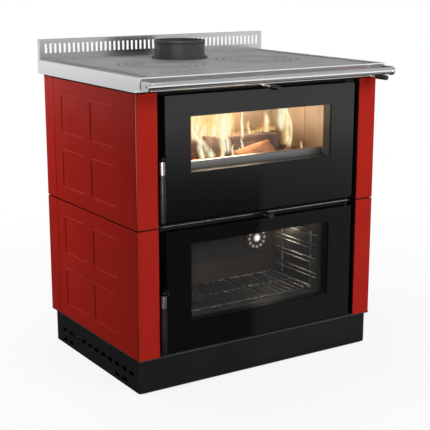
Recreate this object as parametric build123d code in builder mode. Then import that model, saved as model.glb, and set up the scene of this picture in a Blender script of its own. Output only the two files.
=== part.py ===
"""Wood cookstove: firebox over oven, cast-iron hob, enamelled side panels and a steel hand rail."""
import os

from build123d import *

# Overall sizes, in millimetres. X runs to the right, Y to the rear and Z up from the floor.
BODY_W = 800.0
BODY_D = 566.0
PLINTH_H = 100.0
PANEL_H = 356.0
PANEL_GAP = 4.0
HOB_GAP = 4.0
HOB_FRAME_H = 40.0
REAR_REACH = 34.0

# Running and seating clearances
FIT = 0.1
SEAT = 0.3
SLIDE = 0.5

# Hand rail and its brackets
RAIL_R = 10.0
RAIL_WALL = 1.5
RAIL_OUT = 64.0
RAIL_DROP = 20.0
BRACKET_W = 6.0
BRACKET_R = 12.5
BRACKET_SOCKET = 3.0
BRACKET_JOINT = 1.5
GRUB_R = 3.0
GRUB_DEPTH = 1.9
GRUB_KEY_R = 1.7

# Places worked out from the overall sizes; the origin is under the middle of the whole stove
RAIL_REACH = RAIL_OUT + BRACKET_R
FRONT_Y = RAIL_REACH - (RAIL_REACH + BODY_D + REAR_REACH) / 2
REAR_Y = FRONT_Y + BODY_D
BACK_Y = REAR_Y + REAR_REACH
MID_Y = (FRONT_Y + REAR_Y) / 2
SIDE_X = BODY_W / 2
LOWER_Z = PLINTH_H
UPPER_Z = LOWER_Z + PANEL_H + PANEL_GAP
PANEL_TOP = UPPER_Z + PANEL_H
FRAME_Z = PANEL_TOP + HOB_GAP
HOB_Z = FRAME_Z + HOB_FRAME_H

# Feet, base and plinth
FOOT_R = 22.0
FOOT_PAD_H = 10.0
FOOT_STEM_R = 6.0
FOOT_INSET = 70.0
BASE_T = 4.0
BASE_INSET = 1.0
BASE_RIM = 22.0
PLINTH_T = 2.0
PLINTH_LIFT = 2.0
PLINTH_SIDE_INSET = 5.0
PLINTH_FRONT_INSET = 12.0
PLINTH_REAR_INSET = 27.0
PLINTH_BEND_R = 5.0
PLINTH_VENT_W = 27.0
PLINTH_VENT_H = 13.0
PLINTH_VENT_PITCH = 42.6
PLINTH_VENT_START = 56.0
PLINTH_VENT_Z = 48.0
PLINTH_LOW_VENT_Z = 17.0

# Enamelled side panels
PANEL_T = 3.0
PANEL_BEND_R = 6.0
STRIP_W = 64.0
REAR_FLANGE = 28.0
TILE_W = 144.0
TILE_H = 114.0
TILE_GAP_Y = 42.0
TILE_GAP_Z = 46.0
TILE_R = 14.0
TILE_SINK = 1.5
TILE_SLOPE = 3.5
TILE_RELIEF = 1.0
TILE_MARGIN = 12.0
TILE_POINT = 12.0
PANEL_LINE = 69.0
PANEL_LINE_W = 2.5
PANEL_LINE_DEPTH = 1.2

# Rear panel
REAR_T = 2.0
REAR_PANEL_MARGIN = 12.0
REAR_FIELD_INSET = 60.0
REAR_FIELD_H = 4.0
REAR_FIELD_R = 20.0
REAR_FIELD_TAPER = 30.0
SCREW_R = 5.0
SCREW_H = 2.5
REAR_SCREW_ROWS = 5

# Doors, hinges and front frame
GAP_LEFT = 23.0
GAP_RIGHT = 18.0
DOOR_TOP_GAP = 10.0
DOOR_BOTTOM_GAP = 7.0
MID_RAIL_H = 26.0
MID_RAIL_DROP = 12.0
GLASS_T = 5.0
GLASS_R = 3.0
DOOR_SKIN = 3.0
DOOR_EDGE = 3.0
DOOR_PAN_D = 28.0
LINER_T = 4.0
LINER_MARGIN = 22.0
GASKET_D = 4.0
GASKET_W = 12.0
GASKET_INSET = 6.0
WINDOW_INSET = 101.0
WINDOW_R = 4.0
FIRE_WINDOW_DOWN = 58.0
FIRE_WINDOW_UP = 128.0
OVEN_WINDOW_DOWN = 40.0
OVEN_WINDOW_UP = 77.0
INNER_GLASS_T = 4.0
HINGE_IN = 12.0
HINGE_DEEP = 12.0
HINGE_PIN_R = 4.0
HINGE_PIN_L = 18.0
HINGE_PLATE_T = 5.0
HINGE_PLATE_W = 28.0
HINGE_LIFT = 2.0
HINGE_BLOCK = 22.0
FRAME_T = 3.0
FIRE_MOUTH_INSET = 71.0
FIRE_MOUTH_HEAD = 16.0
TRIM_H = 3.0
TRIM_T = 3.0
TRIM_UP = 14.0
TRIM_END = 12.0
RAIL_SET_BACK = 6.0
RAIL_MARGIN = 5.0

# Door handles, hung from a tab on the door's left edge
HANDLE_UP = 172.0
HANDLE_OUT = 4.0
HANDLE_GAP = 5.0
HANDLE_TAB_T = 3.2
HANDLE_TAB_H = 16.0
HANDLE_PIN_R = 3.0
HANDLE_EYE_R = 8.0
HANDLE_EYE_W = 13.0
FERRULE_R = 7.5
FERRULE_L = 36.0
GRIP_R = 9.0
GRIP_L = 131.0
GRIP_TAPER = 0.36
GRIP_CHAMFER = 2.5
FINGER_W = 7.0
FINGER_H = 6.0
KEEPER_L = 12.0
KEEPER_H = 8.0

# Hob frame, hob plate and what it carries
FRAME_SIDE_OUT = 2.0
FRAME_SHEET = 2.5
NOSE_OUT = 31.0
NOSE_H = 3.0
LIP_OUT = 2.0
LIP_H = 9.0
HOB_T = 10.0
HOB_FRONT = 70.0
VENT_FRONT = -15.0
HOB_REAR_STRIP = 26.0
LEDGE_W = 14.0
LEDGE_T = 2.5
VENT_STRIP_W = 81.0
PLATE_GAP = 1.0
VENT_X_SIZE = 25.0
VENT_Y_SIZE = 14.0
VENT_PITCH = 29.6
VENT_END = 25.0
ZONE_EDGE = 30.0
ZONE_Y = 272.0
ZONE_R = 124.0
RING_SEAT = 6.0
RING_T = 7.0
LID_R = 60.0
LID_T = 4.0
GROOVE_W = 2.0
GROOVE_DEEP = 1.0
ZONE_GROOVES = 2
COLLAR_X = -12.0
COLLAR_Y = 430.0
COLLAR_R = 76.0
COLLAR_WALL = 6.0
COLLAR_H = 55.0
COLLAR_FLANGE_R = 84.5
COLLAR_FLANGE_T = 6.0
COLLAR_SEAT = 4.0
COLLAR_BEAD = 1.5
SPLASH_H = 60.0
SPLASH_D = 14.0
SPLASH_SHEET = 1.5
SPLASH_SLOT_W = 7.0
SPLASH_SLOT_H = 28.0
SPLASH_SLOT_UP = 3.0
SPLASH_PITCH = 15.2
SPLASH_END = 24.0

# Inner walls, firebox and oven
WALL_INSET = 88.0
WALL_T = 3.0
WALL_REAR_GAP = 10.0
WALL_TOP_FLANGE = 22.0
CASING_T = 4.0
FIRE_DEPTH = 260.0
BRICK_T = 30.0
BRICK_CLEAR = 1.0
BRICK_TOP_GAP = 6.0
BRICK_LINE = 2.0
HEARTH_UP = 120.0
HEARTH_T = 28.0
HEARTH_LEDGE = 20.0
CASING_DOWN = 16.0
GRATE_W = 260.0
GRATE_D = 120.0
GRATE_T = 12.0
GRATE_LEDGE = 10.0
GRATE_SLOT_W = 10.0
GRATE_SLOTS = 11
GUARD_H = 30.0
GUARD_T = 14.0
GUARD_SHEET = 3.0
GUARD_BEND_R = 6.4
BAFFLE_T = 5.0
BAFFLE_FRONT = 120.0
BAFFLE_HOLE_W = 150.0
BAFFLE_HOLE_D = 100.0
DRAWER_INSET = 136.0
DRAWER_H = 78.0
DRAWER_SHEET = 2.0
DRAWER_FRONT_GAP = 6.0
DRAWER_LIP = 5.0
OVEN_INSET = 81.0
OVEN_FLOOR_UP = 73.0
OVEN_DOWN = 32.0
OVEN_D = 263.0
OVEN_SHEET = 3.0
RACK_WIRE_R = 2.5
RACK_LEVELS = 4
RACK_FIRST = 30.0
RACK_PITCH = 44.0
RACK_TWIN = 13.0
RACK_FRONT = 30.0
SHELF_ROD_R = 3.0
SHELF_WIRE_R = 1.8
SHELF_WIRES = 21
SHELF_FRONT = 36.0
SHELF_REAR = 20.0
LAMP_INSET = 65.0
LAMP_UP = 116.0
LAMP_R = 43.0
LAMP_T = 6.0
LAMP_STUDS = 12
LAMP_STUD_R = 5.0
LAMP_STUD_H = 3.0
LAMP_TAPER = 20.0

# Pull rods for air and flue bypass
ROD_R = 5.0
KNOB_DOME = 2.0
AIR_TRAVEL = 30.0
SECONDARY_UP = 7.5
SECONDARY_OUT = 72.0
SECONDARY_KNOB_R = 6.5
SECONDARY_KNOB_L = 38.0
PRIMARY_OUT = 42.0
PRIMARY_KNOB_R = 9.0
PRIMARY_KNOB_L = 34.0
SLIDER_W = 120.0
SLIDER_H = 16.0
SLIDER_T = 3.0
SLIDER_GAP = 2.0
BYPASS_INSET = 28.0
BYPASS_UP = 2.0
BYPASS_OUT = 76.0
BYPASS_KNOB_R = 7.0
BYPASS_KNOB_L = 44.0
DAMPER_LAP = 12.0
DAMPER_T = 4.0
DAMPER_EAR_W = 8.0
BYPASS_TRAVEL = 60.0

# Places shared by several pieces
STRIP_X = SIDE_X - STRIP_W
PLINTH_VENT_RUN = BODY_D - PLINTH_REAR_INSET - PLINTH_VENT_START - PLINTH_VENT_W
PLINTH_VENTS = int(PLINTH_VENT_RUN / PLINTH_VENT_PITCH) + 1
DOOR_LEFT = -STRIP_X + GAP_LEFT
DOOR_RIGHT = STRIP_X - GAP_RIGHT
LOWER_DOOR_Z = LOWER_Z + DOOR_BOTTOM_GAP
LOWER_DOOR_TOP = LOWER_Z + PANEL_H - MID_RAIL_DROP
LOWER_DOOR_H = LOWER_DOOR_TOP - LOWER_DOOR_Z
UPPER_DOOR_Z = LOWER_DOOR_TOP + MID_RAIL_H
UPPER_DOOR_TOP = PANEL_TOP - DOOR_TOP_GAP
UPPER_DOOR_H = UPPER_DOOR_TOP - UPPER_DOOR_Z
PAN_Y = FRONT_Y + GLASS_T + SEAT
LINER_Y = PAN_Y + DOOR_PAN_D
GASKET_Y = LINER_Y + LINER_T
PLATE_Y = GASKET_Y + GASKET_D + SEAT
CHAMBER_Y = PLATE_Y + FRAME_T
WINDOW_X = STRIP_X - WINDOW_INSET
HINGE_X = DOOR_RIGHT - HINGE_IN
HINGE_Y = FRONT_Y + HINGE_DEEP
FIRE_WINDOW_TOP = UPPER_DOOR_TOP - FIRE_WINDOW_DOWN
FIRE_WINDOW_Z = UPPER_DOOR_Z + FIRE_WINDOW_UP
OVEN_WINDOW_Z = LOWER_DOOR_Z + OVEN_WINDOW_UP
OVEN_WINDOW_TOP = LOWER_DOOR_TOP - OVEN_WINDOW_DOWN
FIRE_MOUTH_TOP = UPPER_DOOR_TOP - FIRE_MOUTH_HEAD
FIRE_MOUTH_X = STRIP_X - FIRE_MOUTH_INSET
FRAME_X = SIDE_X + FRAME_SIDE_OUT
NOSE_Y = FRONT_Y - NOSE_OUT
LIP_Y = FRONT_Y - LIP_OUT
SPLASH_SLOTS = int((BODY_W - SPLASH_END) / SPLASH_PITCH)
HOB_UNDER = HOB_Z - HOB_T
HOB_FRONT_Y = FRONT_Y + HOB_FRONT
HOB_REAR_Y = BACK_Y - HOB_REAR_STRIP
VENT_FRONT_Y = FRONT_Y + VENT_FRONT
VENT_COUNT = int((HOB_REAR_Y - VENT_FRONT_Y - VENT_END) / VENT_PITCH) + 1
LEDGES_Y = (
    (HOB_FRONT_Y - PLATE_GAP - LEDGE_T, HOB_FRONT_Y - PLATE_GAP + LEDGE_W),
    (HOB_REAR_Y + PLATE_GAP - LEDGE_W, HOB_REAR_Y + PLATE_GAP + LEDGE_T),
)
RAIL_Y = FRONT_Y - RAIL_OUT
RAIL_Z = HOB_Z - RAIL_DROP
PLATE_X = SIDE_X - VENT_STRIP_W
ZONE_X = PLATE_X - ZONE_EDGE - ZONE_R
VENT_OUT_X = FRAME_X - FRAME_SHEET - PLATE_GAP
WALL_X = SIDE_X - WALL_INSET
WALL_REAR_Y = REAR_Y - WALL_REAR_GAP
CASING_X = WALL_X - WALL_T - BRICK_CLEAR
BRICK_X = CASING_X - CASING_T - SEAT
FIRE_X = BRICK_X - BRICK_T
FIRE_REAR_Y = CHAMBER_Y + FIRE_DEPTH
CASING_REAR_Y = FIRE_REAR_Y + BRICK_T + CASING_T + SEAT
ASH_FLOOR = UPPER_DOOR_Z
DRAWER_W = 2 * (STRIP_X - DRAWER_INSET)
HEARTH_Z = UPPER_DOOR_Z + HEARTH_UP
ASH_TOP = HEARTH_Z - HEARTH_T
CASING_TOP = PANEL_TOP - CASING_DOWN
BRICK_TOP = CASING_TOP - BRICK_TOP_GAP
GRATE_Y = (CHAMBER_Y + FIRE_REAR_Y) / 2
OVEN_X = STRIP_X - OVEN_INSET
LAMP_X = OVEN_X - LAMP_INSET
OVEN_FLOOR_Z = LOWER_DOOR_Z + OVEN_FLOOR_UP
OVEN_TOP = LOWER_DOOR_TOP - OVEN_DOWN
OVEN_REAR_Y = CHAMBER_Y + OVEN_D
BAFFLE_Z = CASING_TOP
DAMPER_Z = BAFFLE_Z + BAFFLE_T + SEAT
FLUE_Y = FRONT_Y + COLLAR_Y
SECONDARY_Z = UPPER_DOOR_TOP + SECONDARY_UP
SLIDER_Y = CHAMBER_Y + AIR_TRAVEL + SLIDER_GAP
PRIMARY_Z = LOWER_DOOR_TOP + MID_RAIL_H / 2
BYPASS_X = SIDE_X - BYPASS_INSET
BYPASS_Z = FRAME_Z + BYPASS_UP

BOTTOM = (Align.CENTER, Align.CENTER, Align.MIN)


def save(piece, name):
    """Labels a finished piece and writes it to its own file."""
    piece.part.label = name
    export_step(piece.part, f"parts/{name}.step")


def block(x, y, z, mode=Mode.ADD):
    """Adds or cuts a block between the low and high values of x, y and z."""
    with Locations((sum(x) / 2, sum(y) / 2, sum(z) / 2)):
        Box(x[1] - x[0], y[1] - y[0], z[1] - z[0], mode=mode)


def front_plane(y):
    """A plane that faces the front, with its x to the right and its y up."""
    return Plane(origin=(0, y, 0), x_dir=(1, 0, 0), z_dir=(0, -1, 0))


def upright(x, z, radius, mode=Mode.ADD):
    """A rounded rectangle between the low and high values of x and z, on a front plane."""
    with Locations((sum(x) / 2, sum(z) / 2)):
        RectangleRounded(x[1] - x[0], z[1] - z[0], radius, mode=mode)


def mirrored(piece, name):
    """Writes a piece's mirror image, for the other side of the stove."""
    with BuildPart() as twin:
        mirror(piece.part, about=Plane.YZ)
    save(twin, name)


def make_base():
    """Feet, base plate and the three boards of the plinth."""
    under = PLINTH_H - BASE_T
    with BuildPart() as feet:
        with Locations((0, MID_Y, 0)):
            with GridLocations(BODY_W - 2 * FOOT_INSET, BODY_D - 2 * FOOT_INSET, 2, 2):
                Cylinder(FOOT_R, FOOT_PAD_H, align=BOTTOM)
        chamfer(feet.edges().group_by(Axis.Z)[-1], FOOT_PAD_H / 4)
        with Locations((0, MID_Y, FOOT_PAD_H)):
            with GridLocations(BODY_W - 2 * FOOT_INSET, BODY_D - 2 * FOOT_INSET, 2, 2):
                Cylinder(FOOT_STEM_R, under - FOOT_PAD_H, align=BOTTOM)
    save(feet, "levelling_feet")

    with BuildPart() as base:
        with BuildSketch(Plane.XY.offset(under)):
            with Locations((0, MID_Y)):
                Rectangle(BODY_W - 2 * BASE_INSET, BODY_D - 2 * BASE_INSET)
        extrude(amount=BASE_T)
        rim_x = SIDE_X - PLINTH_SIDE_INSET - PLINTH_BEND_R
        rim_y = (FRONT_Y + PLINTH_FRONT_INSET + PLINTH_BEND_R, REAR_Y - PLINTH_REAR_INSET)
        block((-rim_x, rim_x), rim_y, (under - BASE_RIM, under))
        inner_y = (rim_y[0] + BASE_T, rim_y[1] - BASE_T)
        block((BASE_T - rim_x, rim_x - BASE_T), inner_y, (under - BASE_RIM, under), Mode.SUBTRACT)
    save(base, "base_plate")

    board_x = SIDE_X - PLINTH_SIDE_INSET
    board_y = FRONT_Y + PLINTH_FRONT_INSET
    board_rear = REAR_Y - PLINTH_REAR_INSET
    with BuildPart() as board:
        with BuildSketch(Plane.XY.offset(PLINTH_LIFT)):
            with BuildLine():
                FilletPolyline(
                    (-STRIP_X, board_y), (-board_x, board_y), (-board_x, board_rear), radius=PLINTH_BEND_R
                )
                offset(amount=PLINTH_T, side=Side.RIGHT)
            make_face()
        extrude(amount=under - PLINTH_LIFT)
        with BuildSketch(Plane.YZ.offset(-board_x)):
            for column in range(PLINTH_VENTS):
                y = FRONT_Y + PLINTH_VENT_START + column * PLINTH_VENT_PITCH
                low_too = column in (1, 2, PLINTH_VENTS - 2, PLINTH_VENTS - 1)
                rows = (PLINTH_VENT_Z, PLINTH_LOW_VENT_Z) if low_too else (PLINTH_VENT_Z,)
                with Locations(*[(y, z) for z in rows]):
                    Rectangle(PLINTH_VENT_W, PLINTH_VENT_H)
        extrude(amount=PLINTH_T, both=True, mode=Mode.SUBTRACT)
    save(board, "plinth_left")
    mirrored(board, "plinth_right")

    with BuildPart() as kick:
        with BuildSketch(front_plane(board_y)):
            end = STRIP_X - SLIDE
            upright((-end, end), (PLINTH_LIFT, under), PLINTH_T / 2)
        extrude(amount=-PLINTH_T)
    save(kick, "plinth_front")


def make_side_panel(z_low, left_name, right_name):
    """One enamelled sheet, folded round the front corner and pressed with four tiles."""
    with BuildPart() as panel:
        with BuildSketch(Plane.XY.offset(z_low)):
            with BuildLine():
                FilletPolyline(
                    (-STRIP_X, FRONT_Y),
                    (-SIDE_X, FRONT_Y),
                    (-SIDE_X, REAR_Y),
                    (REAR_FLANGE - SIDE_X, REAR_Y),
                    radius=PANEL_BEND_R,
                )
                offset(amount=PANEL_T, side=Side.RIGHT)
            make_face()
        extrude(amount=PANEL_H)
        outside = Plane(
            origin=(-SIDE_X, MID_Y, z_low + PANEL_H / 2), x_dir=(0, -1, 0), z_dir=(-1, 0, 0)
        )
        grid = (TILE_W + TILE_GAP_Y, TILE_H + TILE_GAP_Z, 2, 2)
        with BuildSketch(outside):
            with Locations((PANEL_LINE - BODY_D / 2, 0)):
                Rectangle(PANEL_LINE_W, PANEL_H)
        extrude(amount=-PANEL_LINE_DEPTH, mode=Mode.SUBTRACT)
        for tile in GridLocations(*grid):
            face = Plane(outside * tile)
            with BuildSketch(face):
                RectangleRounded(TILE_W, TILE_H, TILE_R)
            with BuildSketch(face.offset(-TILE_SINK)):
                RectangleRounded(TILE_W - 2 * TILE_SLOPE, TILE_H - 2 * TILE_SLOPE, TILE_R - TILE_SLOPE)
            loft(mode=Mode.SUBTRACT)
            with BuildSketch(face.offset(-TILE_SINK)):
                Rectangle(TILE_W - 2 * TILE_MARGIN, TILE_H - 2 * TILE_MARGIN)
            with BuildSketch(face.offset(TILE_RELIEF - TILE_SINK)):
                Rectangle(TILE_POINT, TILE_POINT)
            loft()
    save(panel, left_name)
    mirrored(panel, right_name)


def make_rear_panel():
    """Rear cover, pressed out in the middle, and the screws that hold it to the side panels."""
    half = SIDE_X - REAR_PANEL_MARGIN
    low = LOWER_Z + REAR_PANEL_MARGIN
    high = PANEL_TOP - REAR_PANEL_MARGIN
    with BuildPart() as cover:
        block((-half, half), (REAR_Y, REAR_Y + REAR_T), (low, high))
        with BuildSketch(front_plane(REAR_Y + REAR_T)):
            inset = REAR_FIELD_INSET
            upright((inset - half, half - inset), (low + inset, high - inset), REAR_FIELD_R)
        extrude(amount=-REAR_FIELD_H, taper=REAR_FIELD_TAPER)
    save(cover, "rear_panel")

    screw_x = SIDE_X - REAR_FLANGE / 2 - REAR_PANEL_MARGIN / 2
    pitch = (high - low - 2 * REAR_PANEL_MARGIN) / (REAR_SCREW_ROWS - 1)
    with BuildPart() as screws:
        rear_face = Plane(origin=(0, REAR_Y + REAR_T, (low + high) / 2), x_dir=(1, 0, 0), z_dir=(0, 1, 0))
        with BuildSketch(rear_face):
            with GridLocations(2 * screw_x, pitch, 2, REAR_SCREW_ROWS):
                Circle(SCREW_R)
        extrude(amount=SCREW_H)
        chamfer(screws.faces().sort_by(Axis.Y).filter_by(Axis.Y)[-2 * REAR_SCREW_ROWS:].edges(), SCREW_H / 3)
    save(screws, "rear_screws")


def make_front_frame():
    """Black front frame: a tray with two mouths, a middle rail, its trim, hinges and latch keepers."""
    flange_x = STRIP_X - FRAME_T / 3
    lip_x = SIDE_X - PANEL_T - PANEL_BEND_R
    lip_y = FRONT_Y + PANEL_T + SEAT
    with BuildPart() as tray:
        with BuildSketch(Plane.XY.offset(LOWER_Z)):
            with BuildLine():
                Polyline(
                    (-lip_x, lip_y), (-flange_x, lip_y), (-flange_x, PLATE_Y),
                    (flange_x, PLATE_Y), (flange_x, lip_y), (lip_x, lip_y),
                )
                offset(amount=FRAME_T, side=Side.LEFT, kind=Kind.INTERSECTION)
            make_face()
        extrude(amount=PANEL_TOP - LOWER_Z)
        rail_end = HINGE_X - HINGE_PLATE_W / 2 - SLIDE
        middle_rail = (LOWER_DOOR_TOP + RAIL_MARGIN, UPPER_DOOR_Z - RAIL_MARGIN)
        top_rail = (UPPER_DOOR_TOP + RAIL_MARGIN, PANEL_TOP)
        for rail_z in (middle_rail, top_rail):
            block((-flange_x, rail_end), (FRONT_Y + RAIL_SET_BACK, CHAMBER_Y), rail_z)
        block((-FIRE_MOUTH_X, FIRE_MOUTH_X), (PLATE_Y, CHAMBER_Y), (ASH_FLOOR, FIRE_MOUTH_TOP), Mode.SUBTRACT)
        block((-OVEN_X, OVEN_X), (PLATE_Y, CHAMBER_Y), (OVEN_FLOOR_Z, OVEN_TOP), Mode.SUBTRACT)
        for rod_z in (PRIMARY_Z, SECONDARY_Z):
            with Locations(front_plane(MID_Y) * Location((0, rod_z, 0))):
                Cylinder(ROD_R + SLIDE, BODY_D * 2, mode=Mode.SUBTRACT)
    save(tray, "front_frame")

    with BuildPart() as trim:
        trim_z = LOWER_DOOR_TOP + TRIM_UP
        knob_gap = PRIMARY_KNOB_R + TRIM_T
        ends = ((TRIM_END - flange_x, -knob_gap), (knob_gap, HINGE_X))
        trim_rear = FRONT_Y + RAIL_SET_BACK
        for span in ends:
            block(span, (trim_rear - TRIM_T, trim_rear), (trim_z, trim_z + TRIM_H))
    save(trim, "door_trim")

    plate_x = (HINGE_X - HINGE_PLATE_W / 2, HINGE_X + HINGE_PLATE_W / 2)
    plate_y = (HINGE_Y - HINGE_PIN_R - FIT, PLATE_Y)
    levels = (
        (LOWER_DOOR_Z - HINGE_LIFT - HINGE_PLATE_T + FIT, (1,)),
        (PRIMARY_Z - HINGE_PLATE_T / 2, (1, -1)),
        (UPPER_DOOR_TOP + HINGE_LIFT, (-1,)),
    )
    with BuildPart() as hinges:
        for low, ways in levels:
            block(plate_x, plate_y, (low, low + HINGE_PLATE_T))
            for way in ways:
                reach = MID_RAIL_H / 2 - HINGE_PLATE_T / 2 if len(ways) == 2 else HINGE_LIFT
                face = low + HINGE_PLATE_T if way > 0 else low
                far = face + way * (reach + HINGE_PIN_L)
                with Locations((HINGE_X, HINGE_Y, min(face, far))):
                    Cylinder(HINGE_PIN_R, abs(far - face), align=BOTTOM)
    save(hinges, "hinge_brackets")

    eye_x = DOOR_LEFT - HANDLE_GAP - HANDLE_EYE_W / 2
    with BuildPart() as keepers:
        for door_z in (LOWER_DOOR_Z, UPPER_DOOR_Z):
            low = door_z + HANDLE_UP + FINGER_H / 2 + SLIDE
            with BuildSketch(Plane.YZ.offset(eye_x)):
                with BuildLine():
                    Polyline(
                        (PLATE_Y, low + KEEPER_H), (PLATE_Y, low), (PLATE_Y - KEEPER_L, low),
                        (PLATE_Y - KEEPER_L, low + KEEPER_H / 3), close=True,
                    )
                make_face()
            extrude(amount=FINGER_W / 2, both=True)
    save(keepers, "latch_keepers")


def make_inner_walls():
    """Two upright inner walls that carry the hob, with the slot for the flue bypass bar."""
    with BuildPart() as walls:
        for side in (-1, 1):
            outer = side * WALL_X
            inner = side * (WALL_X - WALL_T)
            flange = side * (WALL_X + WALL_TOP_FLANGE)
            block(sorted((outer, inner)), (CHAMBER_Y, WALL_REAR_Y), (LOWER_Z, HOB_UNDER))
            block(sorted((inner, flange)), (CHAMBER_Y, WALL_REAR_Y), (HOB_UNDER - WALL_T, HOB_UNDER))
        for ledge_y in LEDGES_Y:
            cut_y = (ledge_y[0] - SEAT, ledge_y[1] + SEAT)
            cut_x = WALL_X + 2 * WALL_TOP_FLANGE
            block((-cut_x, cut_x), cut_y, (HOB_UNDER - LEDGE_T - SEAT, HOB_Z), Mode.SUBTRACT)
        slot_y = (FLUE_Y - BYPASS_TRAVEL - ROD_R - SLIDE, FLUE_Y + ROD_R + SLIDE)
        slot_z = (BYPASS_Z - ROD_R - SLIDE, BYPASS_Z + ROD_R + SLIDE)
        block((WALL_X - 2 * WALL_T, WALL_X + WALL_T), slot_y, slot_z, Mode.SUBTRACT)
    save(walls, "inner_walls")


def make_firebox():
    """Steel casing, refractory lining, grate, log guard, smoke baffle and ash drawer."""
    with BuildPart() as casing:
        block((-CASING_X, CASING_X), (CHAMBER_Y, CASING_REAR_Y), (ASH_FLOOR - CASING_T, CASING_TOP))
        room_x = CASING_X - CASING_T
        room_y = (CHAMBER_Y, CASING_REAR_Y - CASING_T)
        block((-room_x, room_x), room_y, (ASH_FLOOR, CASING_TOP), Mode.SUBTRACT)
        for side in (-1, 1):
            ledge = sorted((side * room_x, side * (room_x - HEARTH_LEDGE)))
            block(ledge, room_y, (ASH_TOP - CASING_T, ASH_TOP))
    save(casing, "firebox_casing")

    with BuildPart() as bricks:
        for side in (-1, 1):
            span = sorted((side * BRICK_X, side * FIRE_X))
            block(span, (CHAMBER_Y + SEAT, FIRE_REAR_Y - SEAT), (HEARTH_Z, BRICK_TOP))
            joint_y = (CHAMBER_Y + FIRE_REAR_Y) / 2
            face = sorted((side * FIRE_X, side * (FIRE_X + BRICK_LINE)))
            block(face, (joint_y, joint_y + BRICK_LINE), (HEARTH_Z, BRICK_TOP), Mode.SUBTRACT)
    save(bricks, "side_firebricks")

    with BuildPart() as rear:
        block((-BRICK_X, BRICK_X), (FIRE_REAR_Y, FIRE_REAR_Y + BRICK_T), (HEARTH_Z, BRICK_TOP))
        for x in (-BRICK_X / 3, BRICK_X / 3):
            line = (FIRE_REAR_Y, FIRE_REAR_Y + BRICK_LINE)
            block((x, x + BRICK_LINE), line, (HEARTH_Z, BRICK_TOP), Mode.SUBTRACT)
    save(rear, "rear_firebrick")

    with BuildPart() as hearth:
        block((-BRICK_X, BRICK_X), (CHAMBER_Y + SEAT, FIRE_REAR_Y + BRICK_T), (ASH_TOP, HEARTH_Z))
        with Locations((0, GRATE_Y, HEARTH_Z)):
            Box(GRATE_W + 2 * SLIDE, GRATE_D + 2 * SLIDE, 2 * GRATE_T, mode=Mode.SUBTRACT)
            Box(GRATE_W - 2 * GRATE_LEDGE, GRATE_D - 2 * GRATE_LEDGE, 4 * HEARTH_T, mode=Mode.SUBTRACT)
    save(hearth, "hearth")

    with BuildPart() as grate:
        with BuildSketch(Plane.XY.offset(HEARTH_Z - GRATE_T)):
            with Locations((0, GRATE_Y)):
                Rectangle(GRATE_W, GRATE_D)
                with GridLocations(2 * GRATE_SLOT_W, 0, GRATE_SLOTS, 1):
                    SlotOverall(GRATE_D - 4 * GRATE_LEDGE, GRATE_SLOT_W, rotation=90, mode=Mode.SUBTRACT)
        extrude(amount=GRATE_T)
    save(grate, "grate")

    guard_x = FIRE_X - SLIDE
    guard_y = CHAMBER_Y + SEAT
    with BuildPart() as guard:
        with BuildSketch(Plane.YZ.offset(-guard_x)):
            with BuildLine():
                FilletPolyline(
                    (guard_y, HEARTH_Z),
                    (guard_y, HEARTH_Z + GUARD_H),
                    (guard_y + GUARD_T, HEARTH_Z + GUARD_H),
                    (guard_y + GUARD_T, HEARTH_Z + GUARD_H / 2),
                    radius=GUARD_BEND_R,
                )
                offset(amount=GUARD_SHEET, side=Side.RIGHT)
            make_face()
        extrude(amount=2 * guard_x)
    save(guard, "log_guard")

    with BuildPart() as baffle:
        half = WALL_X - WALL_T - SLIDE
        with BuildSketch(Plane.XY.offset(BAFFLE_Z)):
            span = (FRONT_Y + BAFFLE_FRONT, WALL_REAR_Y)
            with Locations((0, sum(span) / 2)):
                Rectangle(2 * half, span[1] - span[0])
            with Locations((COLLAR_X, FLUE_Y)):
                Rectangle(BAFFLE_HOLE_W, BAFFLE_HOLE_D, mode=Mode.SUBTRACT)
        extrude(amount=BAFFLE_T)
    save(baffle, "smoke_baffle")

    drawer_z = ASH_FLOOR + SEAT
    front_y = CHAMBER_Y + DRAWER_FRONT_GAP
    rear_y = CASING_REAR_Y - CASING_T - DRAWER_FRONT_GAP
    with BuildPart() as drawer:
        block((-DRAWER_W / 2, DRAWER_W / 2), (front_y, rear_y), (drawer_z, drawer_z + DRAWER_H))
        offset(amount=-DRAWER_SHEET, openings=drawer.faces().sort_by(Axis.Z)[-1])
        with BuildSketch(Plane.YZ.offset(-DRAWER_W / 6)):
            with Locations((front_y, drawer_z + DRAWER_H - DRAWER_LIP)):
                Circle(DRAWER_LIP)
                Rectangle(
                    3 * DRAWER_LIP, 3 * DRAWER_LIP, align=(Align.MIN, Align.CENTER), mode=Mode.SUBTRACT
                )
        extrude(amount=DRAWER_W / 3)
    save(drawer, "ash_drawer")


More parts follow.
